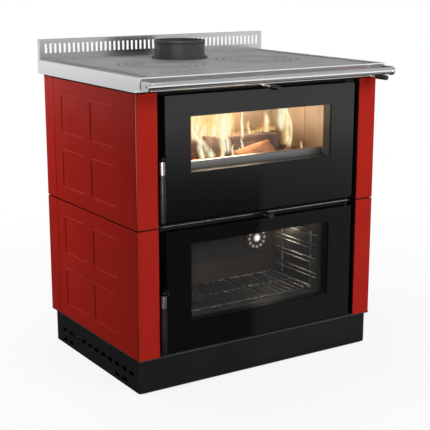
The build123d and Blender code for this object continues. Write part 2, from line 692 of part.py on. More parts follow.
def make_oven():
    """Oven liner with its side racks, wire shelf and round lamp with a studded lens."""
    outer_x = OVEN_X + OVEN_SHEET
    with BuildPart() as liner:
        block(
            (-outer_x, outer_x),
            (CHAMBER_Y, OVEN_REAR_Y + OVEN_SHEET),
            (OVEN_FLOOR_Z - OVEN_SHEET, OVEN_TOP + OVEN_SHEET),
        )
        offset(amount=-OVEN_SHEET, openings=liner.faces().sort_by(Axis.Y)[0])
    save(liner, "oven_liner")

    rack_x = OVEN_X - RACK_WIRE_R - SEAT
    rack_y = (CHAMBER_Y + RACK_FRONT, OVEN_REAR_Y - RACK_FRONT)
    levels = [RACK_FIRST + RACK_PITCH * step for step in range(RACK_LEVELS)]
    wires = [OVEN_FLOOR_Z + level + twin for level in levels for twin in (0, RACK_TWIN)]
    with BuildPart() as racks:
        for side in (-1, 1):
            for z in wires:
                with Locations(Location((side * rack_x, sum(rack_y) / 2, z), (90, 0, 0))):
                    Cylinder(RACK_WIRE_R, rack_y[1] - rack_y[0])
            for y in (rack_y[0] + RACK_FRONT, rack_y[1] - RACK_FRONT):
                with Locations((side * rack_x, y, OVEN_FLOOR_Z + SEAT)):
                    Cylinder(RACK_WIRE_R, wires[-1] + RACK_WIRE_R - OVEN_FLOOR_Z, align=BOTTOM)
    save(racks, "oven_racks")

    shelf_x = rack_x - RACK_WIRE_R - SHELF_ROD_R - SLIDE
    shelf_y = (CHAMBER_Y + SHELF_FRONT, OVEN_REAR_Y - SHELF_REAR)
    shelf_z = OVEN_FLOOR_Z + SHELF_ROD_R + SEAT
    with BuildPart() as shelf:
        with BuildLine():
            loop = FilletPolyline(
                (shelf_x, shelf_y[0], shelf_z),
                (shelf_x, shelf_y[1], shelf_z),
                (-shelf_x, shelf_y[1], shelf_z),
                (-shelf_x, shelf_y[0], shelf_z),
                radius=5 * SHELF_ROD_R,
                close=True,
            )
        with BuildSketch(Plane(origin=loop @ 0, z_dir=loop % 0)):
            Circle(SHELF_ROD_R)
        sweep()
        with Locations(Location((0, sum(shelf_y) / 2, shelf_z), (0, 90, 0))):
            Cylinder(SHELF_ROD_R, 2 * shelf_x)
        wire_z = shelf_z + SHELF_ROD_R + SHELF_WIRE_R / 8
        pitch = 2 * (shelf_x - 4 * SHELF_ROD_R) / (SHELF_WIRES - 1)
        with Locations(Location((0, sum(shelf_y) / 2, wire_z), (90, 0, 0))):
            with GridLocations(pitch, 0, SHELF_WIRES, 1):
                Cylinder(SHELF_WIRE_R, shelf_y[1] - shelf_y[0] + SHELF_ROD_R)
    save(shelf, "oven_shelf")

    lamp_spot = (LAMP_X, OVEN_FLOOR_Z + LAMP_UP)
    with BuildPart() as lamp:
        with BuildSketch(front_plane(OVEN_REAR_Y)):
            with Locations(lamp_spot):
                Circle(LAMP_R)
        extrude(amount=LAMP_T)
        fillet(lamp.edges().group_by(Axis.Y)[0], LAMP_T / 3)
        with BuildSketch(front_plane(OVEN_REAR_Y - LAMP_T)):
            with Locations(lamp_spot):
                Circle(LAMP_R / 3)
                with PolarLocations(LAMP_R * 2 / 3, LAMP_STUDS):
                    Circle(LAMP_STUD_R)
        extrude(amount=LAMP_STUD_H, taper=LAMP_TAPER)
    save(lamp, "oven_lamp")


def make_door(prefix, door_z, door_h, window_z, inner_glass):
    """One door: outer glass, pressed pan with hinge blocks and handle tab, liner and rope gasket."""
    door_x = (DOOR_LEFT, DOOR_RIGHT)
    door_span = (door_z, door_z + door_h)
    window_x = (-WINDOW_X, WINDOW_X)
    pan_x = (DOOR_LEFT + DOOR_EDGE, DOOR_RIGHT - DOOR_EDGE)
    pan_z = (door_span[0] + DOOR_EDGE, door_span[1] - DOOR_EDGE)

    with BuildPart() as glass:
        with BuildSketch(front_plane(FRONT_Y)):
            upright(door_x, door_span, GLASS_R)
        extrude(amount=-GLASS_T)
    save(glass, f"{prefix}_door_glass")

    tab_x = (DOOR_LEFT - HANDLE_TAB_T - SEAT, DOOR_LEFT - SEAT)
    pivot_y = FRONT_Y - HANDLE_OUT
    pivot_z = door_z + HANDLE_UP
    with BuildPart() as pan:
        with BuildSketch(front_plane(PAN_Y)):
            upright(pan_x, pan_z, GLASS_R)
            upright(window_x, window_z, WINDOW_R, Mode.SUBTRACT)
        extrude(amount=-DOOR_PAN_D)
        with BuildSketch(front_plane(PAN_Y + DOOR_SKIN)):
            skin = DOOR_SKIN
            upright((pan_x[0] + skin, pan_x[1] - skin), (pan_z[0] + skin, pan_z[1] - skin), GLASS_R)
            upright(
                (window_x[0] - skin, window_x[1] + skin), (window_z[0] - skin, window_z[1] + skin),
                WINDOW_R, Mode.SUBTRACT,
            )
        extrude(amount=-DOOR_PAN_D, mode=Mode.SUBTRACT)
        hinge_block = HINGE_PIN_L + DOOR_SKIN
        for low in (pan_z[0], pan_z[1] - hinge_block):
            block((HINGE_X - HINGE_BLOCK / 2, pan_x[1]), (PAN_Y, LINER_Y), (low, low + hinge_block))
        tab_z = (pivot_z - HANDLE_TAB_H / 2, pivot_z + HANDLE_TAB_H / 2)
        block((tab_x[0], pan_x[0]), (PAN_Y, LINER_Y), tab_z)
        block(tab_x, (pivot_y - HANDLE_EYE_R, LINER_Y), tab_z)
        for end, way in ((pan_z[0], 1), (pan_z[1], -1)):
            with Locations((HINGE_X, HINGE_Y, end + way * HINGE_PIN_L / 2)):
                Cylinder(HINGE_PIN_R + FIT, HINGE_PIN_L, mode=Mode.SUBTRACT)
        with Locations(Location((sum(tab_x) / 2, pivot_y, pivot_z), (0, 90, 0))):
            Cylinder(HANDLE_PIN_R + FIT, 2 * HANDLE_TAB_T, mode=Mode.SUBTRACT)
    save(pan, f"{prefix}_door_frame")

    liner_x = (pan_x[0] + LINER_MARGIN, pan_x[1] - LINER_MARGIN)
    liner_z = (pan_z[0] + LINER_MARGIN / 2, pan_z[1] - LINER_MARGIN / 2)
    with BuildPart() as liner:
        with BuildSketch(front_plane(LINER_Y)):
            upright(liner_x, liner_z, GLASS_R)
            upright(window_x, window_z, WINDOW_R, Mode.SUBTRACT)
        extrude(amount=-LINER_T)
    save(liner, f"{prefix}_door_liner")

    with BuildPart() as gasket:
        with BuildSketch(front_plane(GASKET_Y)):
            inset = GASKET_INSET
            rope_x = (liner_x[0] + inset, liner_x[1] - inset)
            rope_z = (liner_z[0] + inset, liner_z[1] - inset)
            upright(rope_x, rope_z, 2 * GASKET_W)
            upright(
                (rope_x[0] + GASKET_W, rope_x[1] - GASKET_W), (rope_z[0] + GASKET_W, rope_z[1] - GASKET_W),
                GASKET_W, Mode.SUBTRACT,
            )
        extrude(amount=-GASKET_D)
    save(gasket, f"{prefix}_door_gasket")

    if inner_glass:
        with BuildPart() as inner:
            with BuildSketch(front_plane(LINER_Y - INNER_GLASS_T)):
                pane_x = (window_x[0] + SEAT, window_x[1] - SEAT)
                pane_z = (window_z[0] + SEAT, window_z[1] - SEAT)
                upright(pane_x, pane_z, GLASS_R)
            extrude(amount=-INNER_GLASS_T)
        save(inner, f"{prefix}_inner_glass")

    eye_x = (DOOR_LEFT - HANDLE_GAP - HANDLE_EYE_W, DOOR_LEFT - HANDLE_GAP)
    mid_x = sum(eye_x) / 2
    ferrule_top = pivot_z - HANDLE_EYE_R / 2
    with BuildPart() as handle:
        with BuildSketch(Plane.YZ.offset(eye_x[0])):
            with Locations((pivot_y, pivot_z)):
                Circle(HANDLE_EYE_R)
        extrude(amount=HANDLE_EYE_W)
        with BuildSketch(Plane.YZ.offset(eye_x[0])):
            with Locations((pivot_y, pivot_z)):
                Circle(HANDLE_PIN_R)
        extrude(amount=HANDLE_EYE_W + HANDLE_GAP - SEAT)
        with Locations((mid_x, pivot_y, ferrule_top - FERRULE_L)):
            Cylinder(FERRULE_R, FERRULE_L, align=BOTTOM)
        block(
            (mid_x - FINGER_W / 2, mid_x + FINGER_W / 2),
            (pivot_y, PLATE_Y - KEEPER_L / 3),
            (pivot_z - FINGER_H / 2, pivot_z + FINGER_H / 2),
        )
    save(handle, f"{prefix}_handle")

    top = ferrule_top - FERRULE_L
    end = top - GRIP_L
    outline = (
        (0, top), (FERRULE_R, top), (GRIP_R, top - GRIP_L * GRIP_TAPER), (GRIP_R, end + GRIP_L * GRIP_TAPER),
        (FERRULE_R, end + GRIP_CHAMFER), (FERRULE_R - GRIP_CHAMFER, end), (0, end),
    )
    with BuildPart() as grip:
        with BuildSketch(front_plane(pivot_y)):
            with BuildLine():
                Polyline(*[(mid_x + radius, z) for radius, z in outline], close=True)
            make_face()
        revolve(axis=Axis((mid_x, pivot_y, 0), (0, 0, 1)))
    save(grip, f"{prefix}_grip")


def make_hob_frame():
    """Stainless hob surround: a shell with a drawn-back front, an opening and ledges for the hob."""
    with BuildPart() as surround:
        with BuildSketch(Plane.YZ.offset(-FRAME_X)):
            with BuildLine():
                Polyline(
                    (NOSE_Y, HOB_Z), (BACK_Y, HOB_Z), (BACK_Y, FRAME_Z), (LIP_Y, FRAME_Z),
                    (LIP_Y, FRAME_Z + LIP_H), (NOSE_Y, HOB_Z - NOSE_H), close=True,
                )
            make_face()
        extrude(amount=2 * FRAME_X)
        offset(amount=-FRAME_SHEET, openings=surround.faces().sort_by(Axis.Z)[0])
        inner_x = FRAME_X - FRAME_SHEET
        hob_y = (HOB_FRONT_Y - PLATE_GAP, HOB_REAR_Y + PLATE_GAP)
        vent_y = (VENT_FRONT_Y - PLATE_GAP, HOB_REAR_Y + PLATE_GAP)
        ledge_z = (HOB_UNDER - LEDGE_T, HOB_UNDER)
        for ledge_y in LEDGES_Y:
            block((-inner_x, inner_x), ledge_y, (HOB_UNDER - LEDGE_T, HOB_Z))
        for side in (-1, 1):
            ledge_x = sorted((side * inner_x, side * (inner_x - LEDGE_W)))
            block(ledge_x, vent_y, ledge_z)
            tray_x = sorted((side * inner_x, side * (PLATE_X - LEDGE_T)))
            block(tray_x, (vent_y[0], vent_y[0] + LEDGE_W), ledge_z)
            curb_x = sorted((side * PLATE_X, side * (PLATE_X - LEDGE_T)))
            block(curb_x, (vent_y[0], hob_y[0]), (HOB_UNDER, HOB_Z))
            open_x = sorted((side * PLATE_X, side * inner_x))
            block(open_x, vent_y, (HOB_UNDER, HOB_Z), Mode.SUBTRACT)
        block((-PLATE_X, PLATE_X), hob_y, (HOB_UNDER, HOB_Z), Mode.SUBTRACT)
        for low_x in (-FRAME_X, inner_x):
            with BuildSketch(Plane.YZ.offset(low_x)):
                with BuildLine():
                    Polyline(
                        (NOSE_Y, HOB_Z - NOSE_H), (LIP_Y, FRAME_Z + LIP_H), (NOSE_Y, FRAME_Z + LIP_H),
                        close=True,
                    )
                make_face()
            extrude(amount=FRAME_SHEET)
        notch = ROD_R + SLIDE
        block(
            (BYPASS_X - notch, BYPASS_X + notch), (NOSE_Y, FRONT_Y + FRAME_SHEET),
            (FRAME_Z, BYPASS_Z + notch), Mode.SUBTRACT,
        )
    save(surround, "hob_frame")


def make_hob():
    """Cast-iron hob plate with its vent strips, lift-out rings and lids, and the flue collar."""
    hob_y = (HOB_FRONT_Y, HOB_REAR_Y)
    zone_y = FRONT_Y + ZONE_Y
    with BuildPart() as plate:
        block((-PLATE_X, PLATE_X), hob_y, (HOB_UNDER, HOB_Z))
        with Locations((-ZONE_X, zone_y, HOB_Z), (ZONE_X, zone_y, HOB_Z)):
            CounterBoreHole(ZONE_R - RING_SEAT, ZONE_R + SLIDE, RING_T)
        with Locations((COLLAR_X, FLUE_Y, HOB_Z)):
            CounterBoreHole(COLLAR_R - COLLAR_WALL + PLATE_GAP, COLLAR_FLANGE_R + SLIDE, COLLAR_SEAT)
    save(plate, "hob_plate")

    for side, name in ((-1, "left"), (1, "right")):
        spot = (side * ZONE_X, zone_y)
        with BuildPart() as ring:
            with BuildSketch(Plane.XY.offset(HOB_Z - RING_T)):
                with Locations(spot):
                    Circle(ZONE_R)
            extrude(amount=RING_T)
            with Locations((*spot, HOB_Z)):
                CounterBoreHole(LID_R - RING_SEAT, LID_R + SLIDE, LID_T)
            with BuildSketch(Plane.XY.offset(HOB_Z)):
                with Locations(spot):
                    step = (ZONE_R - LID_R) / (ZONE_GROOVES + 1)
                    for count in range(ZONE_GROOVES):
                        middle = LID_R + step * (count + 1)
                        Circle(middle + GROOVE_W / 2)
                        Circle(middle - GROOVE_W / 2, mode=Mode.SUBTRACT)
            extrude(amount=-GROOVE_DEEP, mode=Mode.SUBTRACT)
        save(ring, f"hob_ring_{name}")

        with BuildPart() as lid:
            with BuildSketch(Plane.XY.offset(HOB_Z - LID_T)):
                with Locations(spot):
                    Circle(LID_R)
                with Locations((spot[0], spot[1] - LID_R * 2 / 3)):
                    SlotOverall(4 * LID_T, 2 * LID_T, mode=Mode.SUBTRACT)
            extrude(amount=LID_T)
        save(lid, f"hob_lid_{name}")

    vent_x = (PLATE_X + PLATE_GAP, VENT_OUT_X)
    vent_y = (VENT_FRONT_Y, HOB_REAR_Y)
    with BuildPart() as strips:
        for side in (-1, 1):
            block(sorted(side * x for x in vent_x), vent_y, (HOB_UNDER, HOB_Z))
        with BuildSketch(Plane.XY.offset(HOB_Z)):
            with Locations((0, sum(vent_y) / 2)):
                with GridLocations(sum(vent_x), VENT_PITCH, 2, VENT_COUNT):
                    Rectangle(VENT_X_SIZE, VENT_Y_SIZE)
        extrude(amount=-HOB_T, mode=Mode.SUBTRACT)
    save(strips, "hob_vents")

    with BuildPart() as collar:
        low = HOB_Z - COLLAR_SEAT
        shoulder = HOB_Z + COLLAR_FLANGE_T
        top = HOB_Z + COLLAR_H
        bore = COLLAR_R - COLLAR_WALL
        outline = (
            (bore, low), (COLLAR_FLANGE_R, low), (COLLAR_FLANGE_R, shoulder), (COLLAR_R, shoulder),
            (COLLAR_R, top - 2 * COLLAR_WALL), (COLLAR_R + COLLAR_BEAD, top - COLLAR_WALL),
            (COLLAR_R + COLLAR_BEAD, top - COLLAR_BEAD), (COLLAR_R, top), (bore, top),
        )
        with BuildSketch(front_plane(FLUE_Y)):
            with BuildLine():
                Polyline(*[(COLLAR_X + radius, z) for radius, z in outline], close=True)
            make_face()
        revolve(axis=Axis((COLLAR_X, FLUE_Y, 0), (0, 0, 1)))
    save(collar, "flue_collar")


def make_splash_and_rail():
    """Slotted backsplash, hand rail, its two brackets and the screws that hold the rail in them."""
    with BuildPart() as splash:
        block((-SIDE_X, SIDE_X), (BACK_Y - SPLASH_D, BACK_Y), (HOB_Z, HOB_Z + SPLASH_H))
        open_faces = [splash.faces().sort_by(Axis.Z)[0], splash.faces().sort_by(Axis.Y)[-1]]
        offset(amount=-SPLASH_SHEET, openings=open_faces)
        with BuildSketch(front_plane(BACK_Y - SPLASH_D)):
            with Locations((0, HOB_Z + SPLASH_H / 2 + SPLASH_SLOT_UP)):
                with GridLocations(SPLASH_PITCH, 0, SPLASH_SLOTS, 1):
                    Rectangle(SPLASH_SLOT_W, SPLASH_SLOT_H)
        extrude(amount=-SPLASH_SHEET, mode=Mode.SUBTRACT)
    save(splash, "backsplash")

    rail_x = FRAME_X - BRACKET_W + BRACKET_SOCKET
    with BuildPart() as rail:
        with BuildSketch(Plane.YZ.offset(-rail_x)):
            with Locations((RAIL_Y, RAIL_Z)):
                Circle(RAIL_R)
                Circle(RAIL_R - RAIL_WALL, mode=Mode.SUBTRACT)
        extrude(amount=2 * rail_x)
    save(rail, "hand_rail")

    slope = (NOSE_OUT - LIP_OUT) / (HOB_FRAME_H - NOSE_H - LIP_H)
    top_z = RAIL_Z + BRACKET_R
    low_z = RAIL_Z - BRACKET_R + LIP_OUT
    with BuildPart() as brackets:
        for side in (-1, 1):
            inner = side * (FRAME_X - BRACKET_W)
            with BuildSketch(Plane.YZ.offset(min(inner, side * FRAME_X))):
                with BuildLine():
                    Polyline(
                        (RAIL_Y, top_z),
                        (NOSE_Y + slope * (HOB_Z - NOSE_H - top_z), top_z),
                        (NOSE_Y + slope * (HOB_Z - NOSE_H - low_z), low_z),
                        (RAIL_Y, RAIL_Z - BRACKET_R), close=True,
                    )
                make_face()
                with Locations((RAIL_Y, RAIL_Z)):
                    Circle(BRACKET_R)
            extrude(amount=BRACKET_W)
            socket = sorted((inner, inner + side * BRACKET_SOCKET))
            with Locations(Location((sum(socket) / 2, RAIL_Y, RAIL_Z), (0, 90, 0))):
                Cylinder(RAIL_R + FIT / 2, BRACKET_SOCKET, mode=Mode.SUBTRACT)
            cheek_x = sorted((side * (FRAME_X - FRAME_SHEET - SEAT), side * FRAME_X))
            block(cheek_x, (NOSE_Y - BRACKET_JOINT, FRONT_Y), (FRAME_Z, HOB_Z), Mode.SUBTRACT)
            with BuildSketch(Plane.YZ.offset(side * FRAME_X)):
                with Locations((RAIL_Y, RAIL_Z)):
                    Circle(GRUB_R + SEAT)
            extrude(amount=-side * GRUB_DEPTH, mode=Mode.SUBTRACT)
    save(brackets, "rail_brackets")

    with BuildPart() as screws:
        for side in (-1, 1):
            with BuildSketch(Plane.YZ.offset(side * (FRAME_X - GRUB_DEPTH))):
                with Locations((RAIL_Y, RAIL_Z)):
                    Circle(GRUB_R)
            extrude(amount=side * (GRUB_DEPTH - SEAT))
            with BuildSketch(Plane.YZ.offset(side * (FRAME_X - SEAT))):
                with Locations((RAIL_Y, RAIL_Z)):
                    RegularPolygon(GRUB_KEY_R, 6)
            extrude(amount=-side * GRUB_DEPTH / 2, mode=Mode.SUBTRACT)
    save(screws, "rail_screws")


def make_rod(name, x, z, tip_y, back_y, knob_r, knob_l, plate=None):
    """A steel pull rod along Y, with its damper plate where it has one, and its black knob."""
    knob_y = tip_y + knob_l
    with BuildPart() as rod:
        with BuildSketch(front_plane(knob_y)):
            with Locations((x, z)):
                Circle(ROD_R)
        extrude(amount=knob_y - back_y)
        if plate:
            plate_z = (z - SLIDER_H / 2, z + SLIDER_H / 2)
            block((x - plate / 2, x + plate / 2), (back_y, back_y + SLIDER_T), plate_z)
    save(rod, f"{name}_rod")

    with BuildPart() as knob:
        with BuildSketch(front_plane(knob_y)):
            with Locations((x, z)):
                Circle(knob_r)
        extrude(amount=knob_l)
        fillet(knob.edges().group_by(Axis.Y)[0], KNOB_DOME)
    save(knob, f"{name}_knob")


def make_controls():
    """Secondary air, primary air and flue bypass pulls."""
    make_rod(
        "secondary_air", 0, SECONDARY_Z, FRONT_Y - SECONDARY_OUT, SLIDER_Y,
        SECONDARY_KNOB_R, SECONDARY_KNOB_L, SLIDER_W,
    )
    make_rod(
        "primary_air", 0, PRIMARY_Z, FRONT_Y - PRIMARY_OUT, SLIDER_Y,
        PRIMARY_KNOB_R, PRIMARY_KNOB_L, SLIDER_W,
    )
    make_rod("bypass", BYPASS_X, BYPASS_Z, FRONT_Y - BYPASS_OUT, FLUE_Y, BYPASS_KNOB_R, BYPASS_KNOB_L)
    with BuildPart() as damper:
        lap_x = BAFFLE_HOLE_W / 2 + DAMPER_LAP
        lap_y = BAFFLE_HOLE_D / 2 + DAMPER_LAP
        block(
            (COLLAR_X - lap_x, COLLAR_X + lap_x), (FLUE_Y - lap_y, FLUE_Y + lap_y),
            (DAMPER_Z, DAMPER_Z + DAMPER_T),
        )
        block(
            (COLLAR_X - DAMPER_EAR_W, COLLAR_X + DAMPER_EAR_W),
            (FLUE_Y - ROD_R, FLUE_Y + ROD_R), (DAMPER_Z, BYPASS_Z),
        )
        with Locations(Location(((COLLAR_X + BYPASS_X - ROD_R) / 2, FLUE_Y, BYPASS_Z), (0, 90, 0))):
            Cylinder(ROD_R, BYPASS_X - ROD_R - COLLAR_X)
    save(damper, "bypass_damper")


os.makedirs("parts", exist_ok=True)
make_base()
make_side_panel(UPPER_Z, "upper_left_panel", "upper_right_panel")
make_side_panel(LOWER_Z, "lower_left_panel", "lower_right_panel")
make_rear_panel()
make_front_frame()
make_inner_walls()
make_firebox()
make_oven()
make_door(
    "firebox", UPPER_DOOR_Z, UPPER_DOOR_H, (FIRE_WINDOW_Z, FIRE_WINDOW_TOP), inner_glass=False
)
make_door(
    "oven", LOWER_DOOR_Z, LOWER_DOOR_H, (OVEN_WINDOW_Z, OVEN_WINDOW_TOP), inner_glass=True
)
make_hob_frame()
make_hob()
make_splash_and_rail()
make_controls()
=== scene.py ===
"""Looks of the wood cookstove: finishes for every solid, the fire, the lit oven and the studio."""
import math
import random

import bpy
from mathutils import Matrix, Vector, noise


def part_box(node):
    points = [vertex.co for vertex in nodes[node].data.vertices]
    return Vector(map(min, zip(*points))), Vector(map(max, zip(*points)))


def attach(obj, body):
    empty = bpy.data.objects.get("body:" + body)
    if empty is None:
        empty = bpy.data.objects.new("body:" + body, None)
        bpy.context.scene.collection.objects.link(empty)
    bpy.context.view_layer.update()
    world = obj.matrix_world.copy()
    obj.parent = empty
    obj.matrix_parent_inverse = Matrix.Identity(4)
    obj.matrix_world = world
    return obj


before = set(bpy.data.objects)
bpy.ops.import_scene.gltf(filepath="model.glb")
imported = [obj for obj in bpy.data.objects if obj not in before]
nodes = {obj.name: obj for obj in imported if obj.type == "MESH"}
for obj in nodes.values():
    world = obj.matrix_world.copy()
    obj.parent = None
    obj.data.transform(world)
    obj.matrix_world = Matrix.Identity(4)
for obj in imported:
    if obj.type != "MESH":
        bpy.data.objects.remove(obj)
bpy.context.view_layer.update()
scene = bpy.context.scene


def tree_math(tree, operation, first, second):
    """A Math node in any node tree, fed by sockets or numbers."""
    made = tree.nodes.new("ShaderNodeMath")
    made.operation = operation
    for socket, value in zip(made.inputs, (first, second)):
        if isinstance(value, bpy.types.NodeSocket):
            tree.links.new(value, socket)
        else:
            socket.default_value = value
    return made.outputs[0]


class Finish:
    """A node material: one Principled shader, and short calls for the nodes that feed it."""

    def __init__(self, name, **sockets):
        self.made = bpy.data.materials.new(name)
        self.made.use_nodes = True
        self.tree = self.made.node_tree
        self.shader = self.tree.nodes["Principled BSDF"]
        for key, value in sockets.items():
            self.shader.inputs[key.replace("_", " ")].default_value = value

    def node(self, kind, **settings):
        made = self.tree.nodes.new("ShaderNode" + kind)
        for key, value in settings.items():
            setattr(made, key, value)
        return made

    def feed(self, socket, value):
        if isinstance(value, bpy.types.NodeSocket):
            self.tree.links.new(value, socket)
        else:
            socket.default_value = value

    def set(self, **sockets):
        for key, value in sockets.items():
            self.feed(self.shader.inputs[key.replace("_", " ")], value)
        return self

    def place(self, output="Object"):
        return self.node("TexCoord").outputs[output]

    def stretched(self, scale):
        mapping = self.node("Mapping")
        mapping.inputs["Scale"].default_value = scale
        self.feed(mapping.inputs["Vector"], self.place())
        return mapping.outputs[0]

    def from_middle(self):
        """Distance from the middle of the floor under the stove."""
        made = self.node("VectorMath", operation="LENGTH")
        self.feed(made.inputs[0], self.place())
        return made.outputs["Value"]

    def noise(self, scale, detail=3.0, stretch=(1, 1, 1), distortion=0.0):
        made = self.node("TexNoise")
        made.inputs["Scale"].default_value = scale
        made.inputs["Detail"].default_value = detail
        made.inputs["Distortion"].default_value = distortion
        self.feed(made.inputs["Vector"], self.stretched(stretch))
        return made.outputs["Fac"]

    def cells(self, scale):
        """Distance from the middle of the nearest of many random cells."""
        made = self.node("TexVoronoi")
        made.inputs["Scale"].default_value = scale
        self.feed(made.inputs["Vector"], self.place())
        return made.outputs["Distance"]

    def axis(self, letter, output="Object"):
        split = self.node("SeparateXYZ")
        self.feed(split.inputs[0], self.place(output))
        return split.outputs[letter]

    def sum(self, operation, first, second=0.0):
        return tree_math(self.tree, operation, first, second)

    def reach(self, first, second):
        """How far a flat step goes, from its two parts."""
        squares = [self.sum("MULTIPLY", part, part) for part in (first, second)]
        return self.sum("SQRT", self.sum("ADD", *squares))

    def fade(self, value, low, high, start=0.0, end=1.0):
        """Goes smoothly from start to end while the value goes from low to high."""
        made = self.node("MapRange", interpolation_type="SMOOTHSTEP")
        self.feed(made.inputs["Value"], value)
        for key, number in (("From Min", low), ("From Max", high), ("To Min", start), ("To Max", end)):
            made.inputs[key].default_value = number
        return made.outputs["Result"]

    def between(self, value, low, high, soft):
        """1 between low and high, and 0 outside them."""
        rise = self.fade(value, low - soft, low + soft)
        fall = self.fade(value, high - soft, high + soft, 1.0, 0.0)
        return self.sum("MULTIPLY", rise, fall)

    def ramp(self, value, *stops):
        """Colours along the value, each stop a position and a colour."""
        made = self.node("ValToRGB")
        band = made.color_ramp
        while len(band.elements) < len(stops):
            band.elements.new(1.0)
        for element, (position, colour) in zip(band.elements, stops):
            element.position = position
            element.color = (*colour, 1.0)
        self.feed(made.inputs[0], value)
        return made.outputs[0]

    def blend(self, share, first, second):
        """The first colour, and the second where the share is 1. A Mix node has its colours at 6, 7 and 2."""
        made = self.node("Mix", data_type="RGBA")
        self.feed(made.inputs[0], share)
        self.feed(made.inputs[6], first)
        self.feed(made.inputs[7], second)
        return made.outputs[2]

    def bump(self, height, strength, distance=0.001, edge=0.0):
        """Surface relief from a height, over edges that are rounded off by the given radius."""
        made = self.node("Bump")
        made.inputs["Strength"].default_value = strength
        made.inputs["Distance"].default_value = distance
        self.feed(made.inputs["Height"], height)
        if edge:
            rounded = self.node("Bevel", samples=4)
            rounded.inputs["Radius"].default_value = edge
            self.feed(made.inputs["Normal"], rounded.outputs[0])
        return self.set(Normal=made.outputs[0])


def grey(level, tint=(1.0, 1.0, 1.0)):
    """A colour of that brightness in each part, times its tint."""
    return tuple(level * share for share in tint)


def red_enamel():
    """Fired enamel, with a painted highlight along the front fold, painted shade on the front-facing slopes
    of the tiles' raised edges and painted light on their rear-facing and down-facing slopes.
    """
    f = Finish("red_enamel_fired", Specular_IOR_Level=0.02, IOR=1.5)
    cloud = f.noise(5.0, 2.0)
    colour = f.ramp(cloud, (0.3, (0.405, 0.0195, 0.0125)), (0.7, (0.450, 0.0220, 0.0140)))
    # The pale line along the front fold, stronger higher up, is a painted highlight.
    fold = f.sum(
        "MULTIPLY",
        f.fade(f.sum("ABSOLUTE", f.axis("X")), 0.3970, 0.3978),
        f.fade(f.axis("Y"), -0.2586, -0.2594),
    )
    bright = f.sum("MULTIPLY", fold, f.fade(f.axis("Z"), 0.46, 0.72, 0.20, 1.0))
    side = f.fade(f.sum("ABSOLUTE", f.axis("X", "Normal")), 0.78, 0.90)
    along, up = f.axis("Y", "Normal"), f.axis("Z", "Normal")
    # On the side faces, slopes facing the front get painted shade, and slopes facing the rear or downwards
    # get painted light.
    front_facing_shade = f.sum("MULTIPLY", side, f.fade(along, -0.12, -0.32, 0.0, 0.62))
    rear_facing_light, down_facing_light = f.fade(along, 0.12, 0.32, 0.0, 0.60), f.fade(up, -0.12, -0.32, 0.0, 0.80)
    drawn = f.sum("MAXIMUM", rear_facing_light, down_facing_light)
    # Dark red is painted shade, pale red is painted light, and pink is the painted fold highlight.
    colour = f.blend(front_facing_shade, colour, (0.120, 0.0050, 0.0030, 1.0))
    colour = f.blend(f.sum("MULTIPLY", side, drawn), colour, (0.66, 0.085, 0.060, 1.0))
    colour = f.blend(bright, colour, (0.80, 0.22, 0.17, 1.0))
    orange_peel = f.sum("MULTIPLY", f.noise(420.0, 2.0), 0.02)
    wave = f.sum("ADD", f.noise(15.0, 2.0, (1, 1, 0.5)), orange_peel)
    f.set(Base_Color=colour, Roughness=f.fade(f.noise(40.0), 0.3, 0.7, 0.16, 0.22))
    return f.bump(wave, 0.3, 0.0012, 0.0022)


def brushed(f):
    """Fine lines along X on level faces and along Y on upright ones."""
    flat = f.noise(1.0, 4.0, (5.0, 420.0, 90.0))
    upright = f.noise(1.0, 4.0, (90.0, 5.0, 420.0))
    lying = f.sum("ABSOLUTE", f.axis("Z", "Normal"))
    return f.blend(lying, upright, flat)


def steel_colour(f, grain, low, high):
    cool = (0.99, 1.0, 1.01)
    return f.ramp(grain, (0.25, grey(low)), (0.75, grey(high, cool)))


def stainless(name, level=0.64, rough=(0.22, 0.30)):
    f = Finish(name, Metallic=1.0, IOR=1.5)
    grain = brushed(f)
    f.set(
        Base_Color=steel_colour(f, grain, level * 0.96, level * 1.04),
        Roughness=f.fade(grain, 0.2, 0.8, *rough),
    )
    return f.bump(grain, 0.02, 0.0004, 0.0008)


def surround_steel():
    """Bright brushed cheeks, a top painted darker as painted shade, and a front edge that is less of a
    mirror.
    """
    f = Finish("surround_brushed", Metallic=1.0, IOR=1.5)
    grain = brushed(f)
    # Faces looking up get the darker steel colour: painted shade.
    top = f.fade(f.axis("Z", "Normal"), 0.6, 0.9)
    cheek = steel_colour(f, grain, 0.86, 0.94)
    shaded_top_colour = steel_colour(f, grain, 0.50, 0.58)
    front = f.fade(f.axis("Y", "Normal"), -0.3, -0.6)
    f.set(
        Base_Color=f.blend(top, cheek, shaded_top_colour),
        Roughness=f.fade(grain, 0.2, 0.8, 0.28, 0.36),
        Metallic=f.fade(front, 0.0, 1.0, 1.0, 0.68),
    )
    return f.bump(grain, 0.02, 0.0004, 0.0008)


def handle_steel(name, eye_z):
    """A bright ferrule under a blackened eye, parted at the eye's height."""
    f = Finish(name, Metallic=1.0, IOR=1.5)
    grain = brushed(f)
    parting = eye_z - 0.0050
    eye = f.fade(f.axis("Z"), parting - 0.0005, parting + 0.0005)
    f.set(
        Base_Color=f.blend(eye, steel_colour(f, grain, 0.46, 0.54), (0.030, 0.030, 0.031, 1.0)),
        Roughness=f.fade(grain, 0.2, 0.8, 0.24, 0.34),
    )
    return f.bump(grain, 0.02, 0.0004, 0.0006)


def trim_steel(low, high):
    """A steel strip with a bright upper edge, painted black below as painted shade."""
    f = Finish("trim_brushed", Metallic=1.0, IOR=1.5)
    grain = brushed(f)
    # Below the parting the strip is painted near black: painted shade.
    parting = low + 0.30 * (high - low)
    bright = f.fade(f.axis("Z"), parting - 0.0005, parting + 0.0005)
    f.set(
        Base_Color=f.blend(bright, (0.012, 0.012, 0.013, 1.0), steel_colour(f, grain, 0.60, 0.70)),
        Roughness=f.fade(grain, 0.2, 0.8, 0.24, 0.32),
    )
    return f.bump(grain, 0.02, 0.0004)


